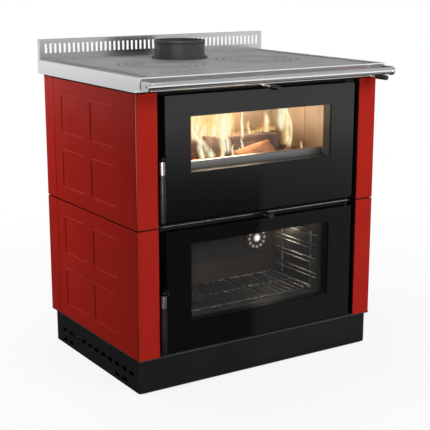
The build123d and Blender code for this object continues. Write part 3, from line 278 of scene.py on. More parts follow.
def bracket_steel():
    """Brushed steel, with painted shade in the joint between the bracket's plate and its socket."""
    f = Finish("bracket_brushed", Metallic=1.0, IOR=1.5)
    grain = brushed(f)
    # The joint band is painted near black: painted shade in the gap.
    joint = f.between(f.axis("Y"), -0.2985, -0.2935, 0.0004)
    f.set(
        Base_Color=f.blend(joint, steel_colour(f, grain, 0.66, 0.74), (0.030, 0.030, 0.032, 1.0)),
        Roughness=f.fade(grain, 0.2, 0.8, 0.22, 0.30),
    )
    return f.bump(grain, 0.02, 0.0004, 0.0006)


def ring_groove_shade(f):
    """Painted shade in the grooves and joints round the two cooking zones."""
    zone_x, zone_y, half = 0.165, 0.01025, 0.0014
    x = f.sum("SUBTRACT", f.sum("ABSOLUTE", f.axis("X")), zone_x)
    reach = f.reach(x, f.sum("SUBTRACT", f.axis("Y"), zone_y))
    found = 0.0
    for radius in (0.0602, 0.0813, 0.1027, 0.1242):
        found = f.sum("MAXIMUM", found, f.between(reach, radius - half, radius + half, 0.0003))
    return found


def slot_shade(f):
    """Painted shade round each slot of the vent strips."""
    start, pitch, half = 0.01775, 0.0296, 0.24
    across = f.between(f.sum("ABSOLUTE", f.axis("X")), 0.368, 0.385, 0.001)
    turn = f.sum("FRACT", f.sum("DIVIDE", f.sum("SUBTRACT", f.axis("Y"), start), pitch))
    return f.sum("MULTIPLY", across, f.between(turn, 0.5 - half, 0.5 + half, 0.02))


def cast_iron(name, low, high, rough=(0.40, 0.54), metal=0.35, tint=(0.97, 1.0, 1.04), marks=None):
    """Grainy, cloudy iron. The marks, where given, find where painted shade darkens it."""
    f = Finish(name, Metallic=metal, IOR=1.5)
    grain = f.noise(900.0, 3.0)
    cloud = f.noise(9.0, 5.0)
    both = f.sum("ADD", f.sum("MULTIPLY", grain, 0.35), f.sum("MULTIPLY", cloud, 0.65))
    iron = f.ramp(both, (0.34, grey(low, tint)), (0.66, grey(high, tint)))
    worn = f.fade(cloud, 0.3, 0.7, *rough)
    if marks:
        # Where the marks find painted shade, the iron turns near black, matte and not metallic.
        painted_shade = marks(f)
        iron = f.blend(painted_shade, iron, (0.006, 0.006, 0.0065, 1.0))
        worn = f.sum("MAXIMUM", worn, painted_shade)
        f.set(Metallic=f.fade(painted_shade, 0.0, 1.0, metal, 0.0))
    f.set(Base_Color=iron, Roughness=worn)
    return f.bump(grain, 0.14, 0.0005, 0.0009)


def painted(name, low, high, rough, speckle=700.0, relief=0.10, gloss=0.5):
    """Paint or moulding, cloudy between two greys, with a fine speckle as relief."""
    f = Finish(name, Specular_IOR_Level=gloss, IOR=1.5)
    grain = f.noise(speckle, 2.0)
    cloud = f.noise(6.0, 3.0)
    f.set(
        Base_Color=f.ramp(cloud, (0.3, grey(low)), (0.7, grey(high))),
        Roughness=f.fade(f.noise(25.0), 0.3, 0.7, *rough),
    )
    return f.bump(grain, relief, 0.0004, 0.0008)


def zinc():
    """Galvanised sheet with its spangle."""
    f = Finish("zinc_spangle", Metallic=1.0)
    spangle = f.cells(160.0)
    f.set(
        Base_Color=f.ramp(spangle, (0.1, grey(0.42)), (0.8, grey(0.60, (0.97, 1.0, 1.03)))),
        Roughness=f.fade(spangle, 0.0, 0.9, 0.30, 0.46),
    )
    return f.bump(spangle, 0.08, 0.0003, 0.0004)


def door_glass(name, window_z, low, high):
    """Ceramic glass: a black printed border round a clear window, found by its place on the door."""
    half, soft, clear = 0.235, 0.0006, 0.10
    f = Finish(name, IOR=1.5)
    inside = f.sum(
        "MULTIPLY",
        f.between(f.axis("X"), -half, half, soft),
        f.between(f.axis("Z"), *window_z, soft),
    )
    dots = f.noise(1500.0, 1.0)
    f.set(
        Base_Color=f.ramp(dots, (0.3, grey(low)), (0.7, grey(high))),
        Roughness=f.fade(f.noise(14.0), 0.3, 0.7, 0.02, 0.05),
        Alpha=f.fade(inside, 0.0, 1.0, 1.0, clear),
    )
    return f.bump(f.noise(3.0, 1.0), 0.02, 0.002)


def clear_glass():
    f = Finish("clear_glass_pane", Alpha=0.10, IOR=1.5)
    haze = f.noise(7.0, 3.0)
    f.set(
        Base_Color=f.ramp(haze, (0.3, grey(0.10)), (0.7, grey(0.16))),
        Roughness=f.fade(haze, 0.3, 0.7, 0.03, 0.08),
    )
    return f


def firebrick():
    """Sanded clay, browned down at the fire bed and smoked in streaks at the front."""
    f = Finish("firebrick_sanded", IOR=1.45)
    cloud = f.noise(11.0, 5.0)
    grit = f.noise(380.0, 2.0)
    above_bed = f.fade(f.axis("Z"), 0.60, 0.70)
    clay = f.ramp(cloud, (0.25, (0.49, 0.38, 0.31)), (0.5, (0.59, 0.48, 0.39)), (0.8, (0.67, 0.56, 0.46)))
    streaks = f.fade(f.noise(1.0, 3.0, (4.0, 60.0, 4.0)), 0.3, 0.7, 0.35, 0.85)
    smoked = f.sum("MULTIPLY", f.fade(f.axis("Y"), -0.09, -0.19), streaks)
    clay = f.blend(smoked, clay, (0.28, 0.215, 0.165, 1.0))
    f.set(
        Base_Color=f.blend(above_bed, (0.26, 0.17, 0.11, 1.0), clay),
        Roughness=f.fade(grit, 0.3, 0.7, 0.82, 0.96),
    )
    return f.bump(f.sum("ADD", grit, cloud), 0.25, 0.0012, 0.0015)


def oven_enamel():
    """Dark flecked enamel, baked brown low on the rear wall."""
    f = Finish("oven_enamel_flecked", Coat_Weight=0.2, Coat_Roughness=0.15, IOR=1.5)
    fleck = f.fade(f.cells(520.0), 0.10, 0.16, 1.0, 0.0)
    ground = f.ramp(f.noise(8.0, 3.0), (0.3, (0.052, 0.047, 0.042)), (0.7, (0.070, 0.064, 0.058)))
    low, rear = f.fade(f.axis("Z"), 0.239, 0.243, 1.0, 0.0), f.fade(f.axis("Y"), 0.040, 0.044)
    ground = f.blend(f.sum("MULTIPLY", low, rear), ground, (0.105, 0.078, 0.060, 1.0))
    f.set(
        Base_Color=f.blend(f.sum("MULTIPLY", fleck, 0.35), ground, (0.20, 0.20, 0.19, 1.0)),
        Roughness=f.fade(f.noise(30.0), 0.3, 0.7, 0.36, 0.48),
    )
    return f.bump(f.noise(260.0, 2.0), 0.06, 0.0006)


def bright_wire():
    f = Finish("bright_wire_drawn", Metallic=1.0)
    drawn = f.noise(1.0, 3.0, (60.0, 9.0, 60.0))
    f.set(
        Base_Color=f.ramp(drawn, (0.3, grey(0.50)), (0.7, grey(0.66))),
        Roughness=f.fade(drawn, 0.3, 0.7, 0.22, 0.32),
    )
    return f.bump(drawn, 0.05, 0.0002)


def seal_rope():
    f = Finish("seal_rope_woven", Sheen_Weight=0.3)
    twist = f.node("TexWave", wave_type="BANDS", bands_direction="DIAGONAL")
    twist.inputs["Scale"].default_value = 90.0
    twist.inputs["Distortion"].default_value = 1.5
    f.feed(twist.inputs["Vector"], f.place())
    f.set(
        Base_Color=f.ramp(twist.outputs["Fac"], (0.2, grey(0.030)), (0.8, grey(0.085, (1.0, 0.98, 0.93)))),
        Roughness=f.fade(twist.outputs["Fac"], 0.2, 0.8, 0.88, 0.97),
    )
    return f.bump(twist.outputs["Fac"], 0.6, 0.0015)


def oven_lamp():
    """The lens: its raised middle and studs shine on a dark disc."""
    middle_x, middle_z = 0.190, 0.296
    f = Finish("oven_lamp_lens", Emission_Strength=1.6, IOR=1.5)
    raised = f.fade(f.axis("Y"), 0.0385, 0.0393, 1.0, 0.0)
    grain = f.noise(300.0, 2.0)
    reach = f.reach(f.sum("SUBTRACT", f.axis("X"), middle_x), f.sum("SUBTRACT", f.axis("Z"), middle_z))
    bulb = f.fade(reach, 0.0075, 0.0105, 1.0, 0.0)
    stud = f.blend(raised, (0.006, 0.005, 0.004, 1.0), (0.24, 0.22, 0.19, 1.0))
    lit = f.blend(bulb, stud, (1.0, 0.95, 0.84, 1.0))
    f.set(
        Base_Color=f.ramp(grain, (0.3, grey(0.030)), (0.7, grey(0.045))),
        Roughness=f.fade(grain, 0.3, 0.7, 0.22, 0.34),
        Emission_Color=lit,
    )
    return f.bump(grain, 0.10, 0.0005)


# The finish of each slot, and below it those of single nodes, which come first.
finishes = {
    "red_enamel": red_enamel(),
    "stainless": stainless("stainless_brushed"),
    "cast_iron": cast_iron("hob_iron_ground", 0.265, 0.335, marks=ring_groove_shade),
    "black_paint": painted("black_heat_paint", 0.009, 0.013, (0.42, 0.47), gloss=0.3),
    "dark_steel": painted("dark_heat_paint", 0.030, 0.046, (0.50, 0.66)),
    "zinc_steel": zinc(),
    "black_glass": door_glass("firebox_glass_printed", (0.598, 0.748), 0.0035, 0.0050),
    "clear_glass": clear_glass(),
    "firebrick": firebrick(),
    "oven_enamel": oven_enamel(),
    "bright_wire": bright_wire(),
    "seal_rope": seal_rope(),
    "black_knob": painted("knob_moulded", 0.010, 0.015, (0.26, 0.38), 900.0, 0.05),
}
special = {
    "oven_door_glass": door_glass("oven_glass_printed", (0.184, 0.404), 0.0030, 0.0045),
    "oven_lamp": oven_lamp(),
    "hand_rail": stainless("rail_polished", 0.92, (0.08, 0.12)),
    "hob_frame": surround_steel(),
    "backsplash": stainless("splash_brushed", 0.60, (0.20, 0.28)),
    "rail_brackets": bracket_steel(),
    "front_frame": painted("frame_heat_paint", 0.0045, 0.0070, (0.50, 0.60), gloss=0.15),
    "rail_screws": painted("screw_blackened", 0.008, 0.014, (0.40, 0.52)),
    "levelling_feet": painted("feet_blackened", 0.010, 0.018, (0.40, 0.52)),
    "flue_collar": cast_iron("collar_iron_painted", 0.030, 0.045, (0.42, 0.55), 0.0, (1.0, 1.0, 1.02)),
    "hob_vents": cast_iron("vent_iron_ground", 0.265, 0.335, marks=slot_shade),
    "log_guard": stainless("guard_steel_heat_dulled", 0.42, (0.36, 0.46)),
    "firebox_handle": handle_steel("firebox_handle_steel", 0.642),
    "oven_handle": handle_steel("oven_handle_steel", 0.279),
}
special["door_trim"] = trim_steel(*(corner[2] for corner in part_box("door_trim")))
for name, piece in nodes.items():
    chosen = special.get(name) or finishes[piece.data.materials[0].name]
    piece.data.materials[0] = chosen.made


def new_piece(name, vertices, faces, finish, smooth=True):
    """A mesh object in the scene, with one finish."""
    mesh = bpy.data.meshes.new(name)
    mesh.from_pydata(vertices, [], faces)
    mesh.validate()
    for face in mesh.polygons:
        face.use_smooth = smooth
    mesh.materials.append(finish.made)
    piece = bpy.data.objects.new(name, mesh)
    scene.collection.objects.link(piece)
    return piece


def rings_to_faces(rings, around):
    """Quads between rings of points, open at both ends."""
    faces = []
    for ring in range(rings - 1):
        for step in range(around):
            after = (step + 1) % around
            low, high = ring * around, (ring + 1) * around
            faces.append((low + step, low + after, high + after, high + step))
    return faces


def tube_faces(rings, around):
    """Quads between rings of points, and one face over each end."""
    faces = rings_to_faces(rings, around)
    faces.append(tuple(range(around)))
    faces.append(tuple((rings - 1) * around + step for step in range(around - 1, -1, -1)))
    return faces


# A graphited seal, coloured near black so the joint reads as its shadow: partly real, partly painted shade.
seal_shade_finish = painted("hob_seal_graphite_painted_shade", 0.004, 0.008, (0.70, 0.85), gloss=0.1)


def hob_seal(name, x):
    """A seal rope in the joint under the hob surround, lying on the side panel's top edge, coloured near
    black as painted shade for the joint's shadow.
    """
    around, rings = 8, 180
    front, rear, middle = -0.2555, 0.3015, 0.8180
    half_wide, half_tall, twist = 0.0014, 0.0020, 0.0065
    points = []
    for ring in range(rings):
        y = front + (rear - front) * ring / (rings - 1)
        for step in range(around):
            angle = math.tau * step / around
            weave = 1.0 - 0.10 * (0.5 + 0.5 * math.sin(math.tau * y / twist + angle))
            out, up = half_wide * weave * math.cos(angle), half_tall * weave * math.sin(angle)
            points.append((x + out, y, middle + up))
    faces = tube_faces(rings, around)
    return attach(new_piece(name, points, faces, seal_shade_finish), "stove")


hob_seal("hob_seal_left", -0.3984)
hob_seal("hob_seal_right", 0.3984)


def plinth_return(name, side):
    """A thin folded strip that closes the rear end of a plinth board, under the base plate's rim."""
    outer, inner, front, rear = 0.3923, 0.3420, 0.2580, 0.2752
    low, high, bend, bend_steps = 0.0030, 0.0738, 0.0040, 6
    half, lip = 0.0006, 0.0020
    line = [(outer, front, 0.0)]
    for step in range(bend_steps + 1):
        angle = math.pi / 2 * step / bend_steps
        line.append((outer - bend + bend * math.cos(angle), rear - bend + bend * math.sin(angle), angle))
    line.append((inner, rear, math.pi / 2))
    section = (
        (half, low), (half, high), (-half, high),
        (-half, low + lip), (-half - lip, low + lip), (-half - lip, low),
    )
    points = []
    for x, y, angle in line:
        out = Vector((math.cos(angle), math.sin(angle)))
        for offset, height in section:
            points.append((side * (x + offset * out.x), y + offset * out.y, height))
    faces = [face[::-1] if side > 0 else face for face in tube_faces(len(line), len(section))]
    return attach(new_piece(name, points, faces, finishes["black_paint"], smooth=False), "stove")


plinth_return("plinth_return_left", -1)
plinth_return("plinth_return_right", 1)


def wood(name, bark, split, glow):
    """Split firewood: grain along the log's own length, charred in patches, with glowing cracks."""
    f = Finish(name, IOR=1.45)
    grain = f.noise(1.0, 5.0, (16.0, 190.0, 190.0), 0.6)
    char = f.fade(f.noise(22.0, 4.0), 0.40, 0.62)
    timber = f.ramp(grain, (0.25, bark), (0.75, split))
    crack = f.fade(f.noise(1.0, 3.0, (40.0, 110.0, 110.0), 1.0), 0.62, 0.74)
    f.set(
        Base_Color=f.blend(f.sum("MULTIPLY", char, 0.55), timber, (0.020, 0.014, 0.012, 1.0)),
        Roughness=f.fade(grain, 0.2, 0.8, 0.75, 0.95),
        Emission_Color=f.blend(crack, (0.0, 0.0, 0.0, 1.0), (1.0, 0.20, 0.03, 1.0)),
        Emission_Strength=glow,
    )
    return f.bump(grain, 0.7, 0.004)


def log(name, finish, middle, length, section, turn, seed):
    """A split log along its own X. The section gives its corners across the log."""
    around, rings = 28, 26
    points = []
    for ring in range(rings):
        along = ring / (rings - 1) - 0.5
        for step in range(around):
            share = step / around * len(section)
            first = Vector(section[int(share) % len(section)])
            second = Vector(section[(int(share) + 1) % len(section)])
            flat = first.lerp(second, share - int(share))
            spot = Vector((along * length, flat.x, flat.y))
            rough = noise.noise(Vector((spot.x * 14 + seed, spot.y * 45, spot.z * 45)))
            fine = noise.noise(Vector((spot.x * 40, spot.y * 160 + seed, spot.z * 160)))
            spot.yz = spot.yz * (0.97 + 0.10 * rough + 0.03 * fine)
            if ring in (0, rings - 1):
                spot.x += 0.006 * noise.noise(Vector((seed, spot.y * 90, spot.z * 90)))
            points.append(tuple(spot))
    faces = rings_to_faces(rings, around)
    for ring, way in ((0, 1), (rings - 1, -1)):
        loop = [ring * around + step for step in range(around)]
        centre = sum((Vector(points[i]) for i in loop), Vector()) / around
        points.append(tuple(centre + Vector((way * 0.003, 0, 0))))
        hub = len(points) - 1
        faces += [(loop[i], hub, loop[(i + 1) % around])[::way] for i in range(around)]
    piece = new_piece(name, points, faces, finish)
    piece.matrix_world = Matrix.Translation(middle) @ turn
    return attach(piece, "stove")


def facing(yaw, roll=0.0, pitch=0.0):
    """A turn, in degrees: rolled about X, then pitched about Y, then turned about Z."""
    return (
        Matrix.Rotation(math.radians(yaw), 4, "Z")
        @ Matrix.Rotation(math.radians(pitch), 4, "Y")
        @ Matrix.Rotation(math.radians(roll), 4, "X")
    )


SQUARE = ((-0.034, -0.029), (0.036, -0.027), (0.033, 0.030), (-0.030, 0.031))
WEDGE = ((-0.030, -0.018), (0.032, -0.018), (0.012, 0.016), (0.000, 0.016))
dark_wood = wood("firewood_charred", (0.085, 0.055, 0.050), (0.230, 0.160, 0.140), 0.4)
pale_wood = wood("firewood_split", (0.19, 0.078, 0.040), (0.40, 0.190, 0.100), 0.25)
log("log_rear", dark_wood, (-0.034, -0.094, 0.6290), 0.36, SQUARE, facing(-5.0, 4.0), 1.7)
log("log_front", pale_wood, (0.034, -0.160, 0.6165), 0.135, WEDGE, facing(8.0, 0.0, -9.0), 5.2)
log("log_left", dark_wood, (-0.104, -0.146, 0.6300), 0.075, WEDGE, facing(60.0, 0.0, -78.0), 8.4)


def ember_bed():
    """Small broken coals heaped over the grate, each a rough lump, in one mesh."""
    f = Finish("embers_glowing", Emission_Strength=1.6)
    heat = f.noise(75.0, 4.0)
    f.set(
        Base_Color=f.ramp(heat, (0.3, (0.015, 0.011, 0.010)), (0.7, (0.10, 0.07, 0.055))),
        Roughness=f.fade(heat, 0.3, 0.7, 0.85, 0.97),
        Emission_Color=f.blend(
            f.fade(f.axis("X"), -0.02, 0.10),
            f.ramp(heat, (0.42, (0.0, 0.0, 0.0)), (0.52, (0.75, 0.10, 0.012)), (0.66, (1.0, 0.42, 0.08))),
            f.ramp(heat, (0.50, (0.0, 0.0, 0.0)), (0.70, (0.22, 0.05, 0.010))),
        ),
    )
    coals, sides, bed = 150, 6, 0.594
    chance = random.Random(4)
    points, faces = [], []
    for _ in range(coals):
        middle = Vector((chance.uniform(-0.225, 0.225), chance.uniform(-0.188, -0.052), bed))
        size = chance.uniform(0.007, 0.014)
        middle.z += size * 0.55
        start = len(points)
        for level, wide in ((-0.8, 0.55), (-0.1, 1.0), (0.55, 0.75)):
            for step in range(sides):
                angle = math.tau * step / sides + level
                reach = size * wide * chance.uniform(0.75, 1.15)
                points.append(tuple(middle + Vector((
                    reach * math.cos(angle), reach * math.sin(angle), level * size * 0.8
                ))))
        points.append(tuple(middle + Vector((0, 0, size * 0.75))))
        upper, peak = start + 2 * sides, start + 3 * sides
        faces += [tuple(start + i for i in face) for face in rings_to_faces(3, sides)]
        faces += [(upper + i, upper + (i + 1) % sides, peak) for i in range(sides)]
        faces.append(tuple(start + i for i in range(sides - 1, -1, -1)))
    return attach(new_piece("ember_bed", points, faces, f, smooth=False), "stove")


FIRE_COLOURS = (
    (0.10, (0.84, 0.31, 0.08)),
    (0.34, (1.0, 0.58, 0.17)),
    (0.56, (1.0, 0.77, 0.31)),
    (0.84, (1.0, 0.92, 0.64)),
)


def glowing(name):
    """A finish that only shines: black, dull and bright with its own light."""
    return Finish(
        name, Base_Color=(0.0, 0.0, 0.0, 1.0), Roughness=1.0, Specular_IOR_Level=0.0, Emission_Strength=1.32,
    )


def flame_finish(name, white):
    """Fire: palest low and in the middle, yellow then orange to the edges and the tip."""
    f = glowing(name)
    across = f.sum("ABSOLUTE", f.sum("SUBTRACT", f.axis("X", "UV"), 0.5))
    core = f.fade(across, 0.02, 0.50, 1.0, 0.0)
    height = f.axis("Y", "UV")
    streak = f.noise(1.0, 3.0, (95.0, 40.0, 17.0), 0.8)
    lick = f.sum("ADD", height, f.sum("MULTIPLY", f.sum("SUBTRACT", streak, 0.5), 0.8))
    tip = f.fade(lick, 0.55, 1.0, 1.0, 0.0)
    foot = f.fade(height, 0.0, 0.12, 0.20, 1.0)
    body = f.sum("MULTIPLY", f.sum("MULTIPLY", core, tip), foot)
    heat = f.sum("MULTIPLY", core, f.sum("ADD", f.sum("MULTIPLY", streak, 0.9), f.sum("MULTIPLY", tip, 0.35)))
    torn = f.sum("MULTIPLY", body, f.fade(streak, 0.25, 0.60, 0.35, 1.0))
    f.set(
        Emission_Color=f.ramp(f.sum("ADD", heat, white), *FIRE_COLOURS),
        Alpha=f.fade(torn, 0.02, 1.00, 0.0, 0.96),
    )
    return f


def curtain_finish(name, reach):
    """A sheet of fire: tongues of uneven height with upright streaks, breaking up at its foot."""
    f = glowing(name)
    u, v = f.axis("X", "UV"), f.axis("Y", "UV")
    streak = f.noise(1.0, 4.0, (75.0, 20.0, 13.0), 1.0)
    tongue = f.fade(f.noise(1.0, 1.5, (34.0, 10.0, 5.0), 0.5), 0.30, 0.62, *reach)
    top = f.fade(f.sum("SUBTRACT", v, tongue), -0.30, 0.02, 1.0, 0.0)
    foot = f.fade(f.sum("ADD", v, f.sum("MULTIPLY", streak, 0.5)), 0.28, 0.62, 0.0, 1.0)
    ends = f.sum("MULTIPLY", f.fade(u, 0.0, 0.14), f.fade(u, 0.86, 1.0, 1.0, 0.0))
    body = f.sum("MULTIPLY", f.sum("MULTIPLY", top, foot), ends)
    heat = f.sum("MULTIPLY", body, f.fade(streak, 0.28, 0.70, 0.36, 0.92))
    f.set(
        Emission_Color=f.ramp(heat, *FIRE_COLOURS),
        Alpha=f.sum("MULTIPLY", body, f.fade(streak, 0.25, 0.55, 0.55, 0.93)),
    )
    return f


fire = flame_finish("flame_yellow", 0.0)
white_fire = flame_finish("flame_white", 0.30)
fire_sheet = curtain_finish("flame_sheet", (0.62, 1.05))
fire_fringe = curtain_finish("flame_fringe", (0.12, 0.50))


def sheet_piece(name, points, marks, wide, tall, finish):
    """A grid of points with its own texture places, riding on the stove."""
    faces = []
    for row in range(tall):
        for column in range(wide):
            low = row * (wide + 1) + column
            faces.append((low, low + 1, low + wide + 2, low + wide + 1))
    piece = new_piece(name, points, faces, finish)
    layer = piece.data.uv_layers.new(name="flame")
    for loop in piece.data.loops:
        layer.data[loop.index].uv = marks[loop.vertex_index]
    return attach(piece, "stove")


def flame(name, foot, tip, half, swell, sway, phase, finish):
    """One tongue of fire: a leaf that bulges to the front, leans from its foot to its tip and wavers."""
    wide, tall = 12, 30
    foot, tip = Vector(foot), Vector(tip)
    points, marks = [], []
    for row in range(tall + 1):
        v = row / tall
        middle = foot.lerp(tip, v)
        middle.x += sway * math.sin(math.tau * (1.15 * v + phase)) * (0.25 + v)
        leaf = half * (1.0 - v) ** 0.55 * (0.62 + swell * math.sin(math.pi * min(1.0, 1.25 * v)))
        leaf *= 1.0 + 0.28 * noise.noise(Vector((phase * 9.0, v * 5.0, half * 70.0)))
        for column in range(wide + 1):
            u = 2.0 * column / wide - 1.0
            points.append((middle.x + u * leaf, middle.y - 0.45 * leaf * (1.0 - u * u), middle.z))
            marks.append((column / wide, v))
    return sheet_piece(name, points, marks, wide, tall, finish)


def curtain(name, left, right, low, high, finish):
    """A sheet of fire between two places on the floor plan, a little wavy."""
    wide, tall = 24, 16
    points, marks = [], []
    for row in range(tall + 1):
        v = row / tall
        for column in range(wide + 1):
            u = column / wide
            x = left[0] + (right[0] - left[0]) * u
            y = left[1] + (right[1] - left[1]) * u + 0.008 * math.sin(9.0 * u + 3.0 * v)
            points.append((x, y, low + (high - low) * v))
            marks.append((u, v))
    return sheet_piece(name, points, marks, wide, tall, finish)


ember_bed()
curtain("flame_sheet_left", (-0.160, -0.118), (0.016, -0.108), 0.602, 0.790, fire_sheet)
curtain("flame_sheet_rear", (-0.185, -0.062), (0.030, -0.056), 0.640, 0.792, fire_sheet)
curtain("flame_fringe_log", (0.016, -0.102), (0.160, -0.106), 0.648, 0.712, fire_fringe)
# Name, foot, tip, half width, swell, sway, phase and finish of each tongue.
for tongue, *shape in (
    ("far_left", (-0.112, -0.165, 0.606), (-0.176, -0.140, 0.735), 0.030, 0.45, 0.012, 0.10, white_fire),
    ("left_white", (-0.128, -0.150, 0.604), (-0.140, -0.135, 0.700), 0.020, 0.40, 0.008, 0.40, white_fire),
    ("left_mass", (-0.090, -0.128, 0.610), (-0.072, -0.110, 0.785), 0.050, 0.50, 0.012, 0.55, fire),
    ("left_tall", (-0.048, -0.135, 0.608), (-0.040, -0.112, 0.780), 0.036, 0.42, 0.012, 0.30, white_fire),
    ("left_low", (-0.072, -0.165, 0.604), (-0.080, -0.158, 0.664), 0.018, 0.40, 0.006, 0.70, fire),
    ("mid_low", (-0.036, -0.160, 0.606), (-0.032, -0.155, 0.652), 0.012, 0.35, 0.004, 0.20, white_fire),
    ("mid_small", (-0.018, -0.165, 0.604), (-0.015, -0.160, 0.640), 0.009, 0.35, 0.003, 0.65, white_fire),
    ("thin_foot", (0.008, -0.140, 0.608), (0.012, -0.135, 0.668), 0.011, 0.30, 0.003, 0.90, white_fire),
    ("thin", (0.010, -0.138, 0.648), (0.016, -0.130, 0.785), 0.013, 0.30, 0.004, 0.35, white_fire),
    ("log_one", (0.058, -0.104, 0.650), (0.054, -0.098, 0.708), 0.022, 0.20, 0.004, 0.25, fire),
    ("log_two", (0.118, -0.104, 0.648), (0.112, -0.098, 0.738), 0.034, 0.20, 0.004, 0.60, fire),
    ("right", (0.182, -0.124, 0.604), (0.178, -0.104, 0.790), 0.036, 0.45, 0.006, 0.75, fire),
    ("right_high", (0.172, -0.108, 0.655), (0.172, -0.098, 0.792), 0.046, 0.55, 0.008, 0.35, white_fire),
    ("right_small", (0.214, -0.150, 0.604), (0.215, -0.148, 0.636), 0.007, 0.30, 0.002, 0.15, fire),
):
    flame("flame_" + tongue, *shape)


def lamp(name, kind, spot, power, colour, target=None, size=None):
    """A light. An area light is turned to its target and has two sizes, and a point light has a radius."""
    data = bpy.data.lights.new(name, kind)
    data.energy = power
    data.color = colour
    made = bpy.data.objects.new(name, data)
    scene.collection.objects.link(made)
    made.location = spot
    if target is not None:
        made.rotation_mode = "QUATERNION"
        made.rotation_quaternion = (Vector(target) - Vector(spot)).to_track_quat("-Z", "Y")
    if kind == "AREA":
        data.shape = "RECTANGLE"
        data.size, data.size_y = size
    else:
        data.shadow_soft_size = size
    return made


WARM = (1.0, 0.76, 0.50)
lamp("fire_glow_left", "POINT", (-0.10, -0.150, 0.710), 2.6, WARM, size=0.05)
lamp("fire_glow_right", "POINT", (0.02, -0.115, 0.740), 2.6, WARM, size=0.05)
lamp("fire_glow_low", "POINT", (0.02, -0.178, 0.680), 0.35, WARM, size=0.03)
lamp("oven_glow", "POINT", (0.205, 0.000, 0.330), 0.13, (1.0, 0.86, 0.66), size=0.02)
key_light = lamp("key", "AREA", (1.3, -3.3, 2.3), 118.0, (1.0, 0.99, 0.97), (0.0, -0.1, 0.5), (2.6, 2.0))
side_light = lamp("side_soft", "AREA", (-1.0, 0.95, 0.85), 9.5, (1.0, 1.0, 1.0), (-0.4, 0.2, 0.5), (0.7, 0.9))
key_light.visible_glossy = side_light.visible_glossy = False
lamp("top_soft", "AREA", (-0.2, 0.6, 3.4), 40.0, (1.0, 1.0, 1.0), (0.0, 0.0, 0.86), (2.4, 2.0))


def seen_directly(tree):
    """1 for what the camera sees, straight or by a mirror or through glass, and 0 for lighting."""
    path = tree.nodes.new("ShaderNodeLightPath")
    found = path.outputs["Is Camera Ray"]
    for ray in ("Is Glossy Ray", "Is Transmission Ray"):
        found = tree_math(tree, "MAXIMUM", found, path.outputs[ray])
    return found


def studio_world():
    """Weak light from all round. Seen, it is white, and in mirrors it is dimmer overhead."""
    world = bpy.data.worlds.new("studio")
    world.use_nodes = True
    scene.world = world
    tree = world.node_tree
    light = tree.nodes["Background"]
    light.inputs["Color"].default_value = (0.96, 0.98, 1.0, 1.0)
    light.inputs["Strength"].default_value = 0.16
    white = tree.nodes.new("ShaderNodeBackground")
    white.inputs["Color"].default_value = (1.0, 1.0, 1.0, 1.0)
    path = tree.nodes.new("ShaderNodeLightPath")
    split = tree.nodes.new("ShaderNodeSeparateXYZ")
    tree.links.new(tree.nodes.new("ShaderNodeTexCoord").outputs["Generated"], split.inputs[0])
    grade = tree.nodes.new("ShaderNodeMapRange")
    for key, number in (("From Min", 0.10), ("From Max", 0.42), ("To Min", 0.0), ("To Max", 0.58)):
        grade.inputs[key].default_value = number
    tree.links.new(split.outputs["Z"], grade.inputs["Value"])
    dimming = tree_math(tree, "MULTIPLY", grade.outputs["Result"], path.outputs["Is Glossy Ray"])
    tree.links.new(tree_math(tree, "SUBTRACT", 1.0, dimming), white.inputs["Strength"])
    mix = tree.nodes.new("ShaderNodeMixShader")
    tree.links.new(seen_directly(tree), mix.inputs[0])
    tree.links.new(light.outputs[0], mix.inputs[1])
    tree.links.new(white.outputs[0], mix.inputs[2])
    tree.links.new(mix.outputs[0], tree.nodes["World Output"].inputs["Surface"])


def studio_floor():
    """A pale floor that looks white and keeps the soft shadow round the stove, with a painted shadow under
    the stove and just behind it.
    """
    half, level = 30.0, -0.0005
    f = Finish("studio_floor", Roughness=0.9, Specular_IOR_Level=0.0)
    pale = f.ramp(f.noise(1.5), (0.3, grey(0.80)), (0.7, grey(0.83)))
    x, y = f.axis("X"), f.axis("Y")
    spread = f.sum("ADD", f.sum("ABSOLUTE", x), f.sum("MULTIPLY", y, 0.66))
    hidden = f.fade(spread, 0.572, 0.586, 1.0, 0.0)
    depth = f.sum("MULTIPLY", f.fade(y, -0.251, -0.243), f.fade(y, 0.285, 0.325, 1.0, 0.0))
    # Under the stove and just behind it, the floor is painted near black and gets no white: a painted shadow.
    under = f.sum("MULTIPLY", f.between(x, -0.386, 0.386, 0.004), f.sum("MULTIPLY", hidden, depth))
    bounce = f.blend(f.node("LightPath").outputs["Is Diffuse Ray"], pale, (0.42, 0.42, 0.42, 1.0))
    f.set(Base_Color=f.blend(under, bounce, (0.010, 0.010, 0.010, 1.0)))
    white = f.node("Emission")
    white.inputs["Strength"].default_value = 1.0
    share = f.sum("MULTIPLY", seen_directly(f.tree), f.fade(f.from_middle(), 0.4, 2.0, 0.86, 1.0))
    share = f.sum("MULTIPLY", share, f.sum("SUBTRACT", 1.0, under))
    mix = f.node("MixShader")
    f.feed(mix.inputs[0], share)
    f.feed(mix.inputs[1], f.shader.outputs[0])
    f.feed(mix.inputs[2], white.outputs[0])
    f.feed(f.tree.nodes["Material Output"].inputs["Surface"], mix.outputs[0])
    corners = [(x * half, y * half, level) for x, y in ((-1, -1), (1, -1), (1, 1), (-1, 1))]
    new_piece("floor", corners, [(0, 1, 2, 3)], f)


def reflection_card(name, corners, level):
    """A studio card that only mirrors see: it gives no light and no shadow, and the camera looks past it."""
    f = Finish(name)
    glow = f.node("Emission")
    f.feed(glow.inputs["Strength"], level(f))
    f.feed(f.tree.nodes["Material Output"].inputs["Surface"], glow.outputs[0])
    card = new_piece(name, corners, [tuple(range(len(corners)))], f)
    card.visible_camera = card.visible_diffuse = card.visible_shadow = card.visible_transmission = False


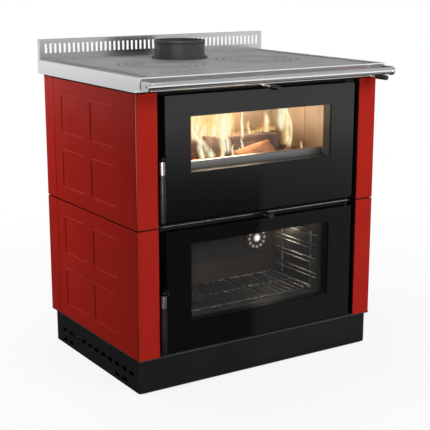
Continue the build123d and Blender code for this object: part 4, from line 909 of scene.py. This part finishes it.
def floor_level(f):
    """Dark round the stove, less so to its right, and white far off, sooner to the front than to the rear."""
    reach = f.from_middle()
    x, y = f.axis("X"), f.axis("Y")
    front = f.fade(reach, 1.9, 5.8, 0.045, 0.95)
    rear = f.fade(reach, 5.2, 7.4, 0.020, 0.95)
    behind = f.fade(y, -1.0, 0.5)
    ahead = f.sum("SUBTRACT", 1.0, behind)
    level = f.sum("ADD", f.sum("MULTIPLY", rear, behind), f.sum("MULTIPLY", front, ahead))
    right = f.fade(f.sum("ADD", x, f.sum("MULTIPLY", y, 0.7227)), -0.25, -0.205)
    near = f.sum("MULTIPLY", f.fade(reach, 2.5, 4.0, 0.15, 0.0), f.fade(y, -0.30, -0.26, 1.0, 0.0))
    return f.sum("ADD", level, f.sum("MULTIPLY", right, near))


def strip_level(f):
    """A bright strip to the left of the front, fading to its foot."""
    return f.fade(f.axis("Z"), 0.1, 0.5, 1.5, 10.0)


def back_level(f):
    """A grey wall far behind the stove."""
    return f.fade(f.axis("Z"), 0.3, 1.2, 0.50, 0.40)


def upright(left, right, low, high):
    """Corners of an upright card between two places on the floor plan."""
    return [(*left, low), (*right, low), (*right, high), (*left, high)]


def reflection_cards():
    radius, steps, height = 12.0, 64, 0.0004
    angles = [math.tau * step / steps for step in range(steps)]
    ring = [(radius * math.cos(angle), radius * math.sin(angle), height) for angle in angles]
    reflection_card("floor_card", ring, floor_level)
    reflection_card("strip_card", upright((-1.65, -1.34), (-0.99, -1.80), 0.1, 1.3), strip_level)
    reflection_card("back_card", upright((-2.0, 9.6), (9.6, 2.2), 0.3, 9.0), back_level)


def photo_camera():
    """The camera of the photograph, as fitted to its edges."""
    data = bpy.data.cameras.new("photo_view")
    data.sensor_width = 36.0
    data.lens = 88.3
    data.clip_end = 200.0
    made = bpy.data.objects.new("photo_view", data)
    scene.collection.objects.link(made)
    yaw, pitch = 0.570, 0.2312
    made.location = (-1.6621, -2.6055, 1.1292)
    made.rotation_euler = (math.pi / 2 - pitch, 0.0, -yaw)
    scene.camera = made


studio_world()
studio_floor()
reflection_cards()
photo_camera()
scene.view_settings.view_transform = "Standard"
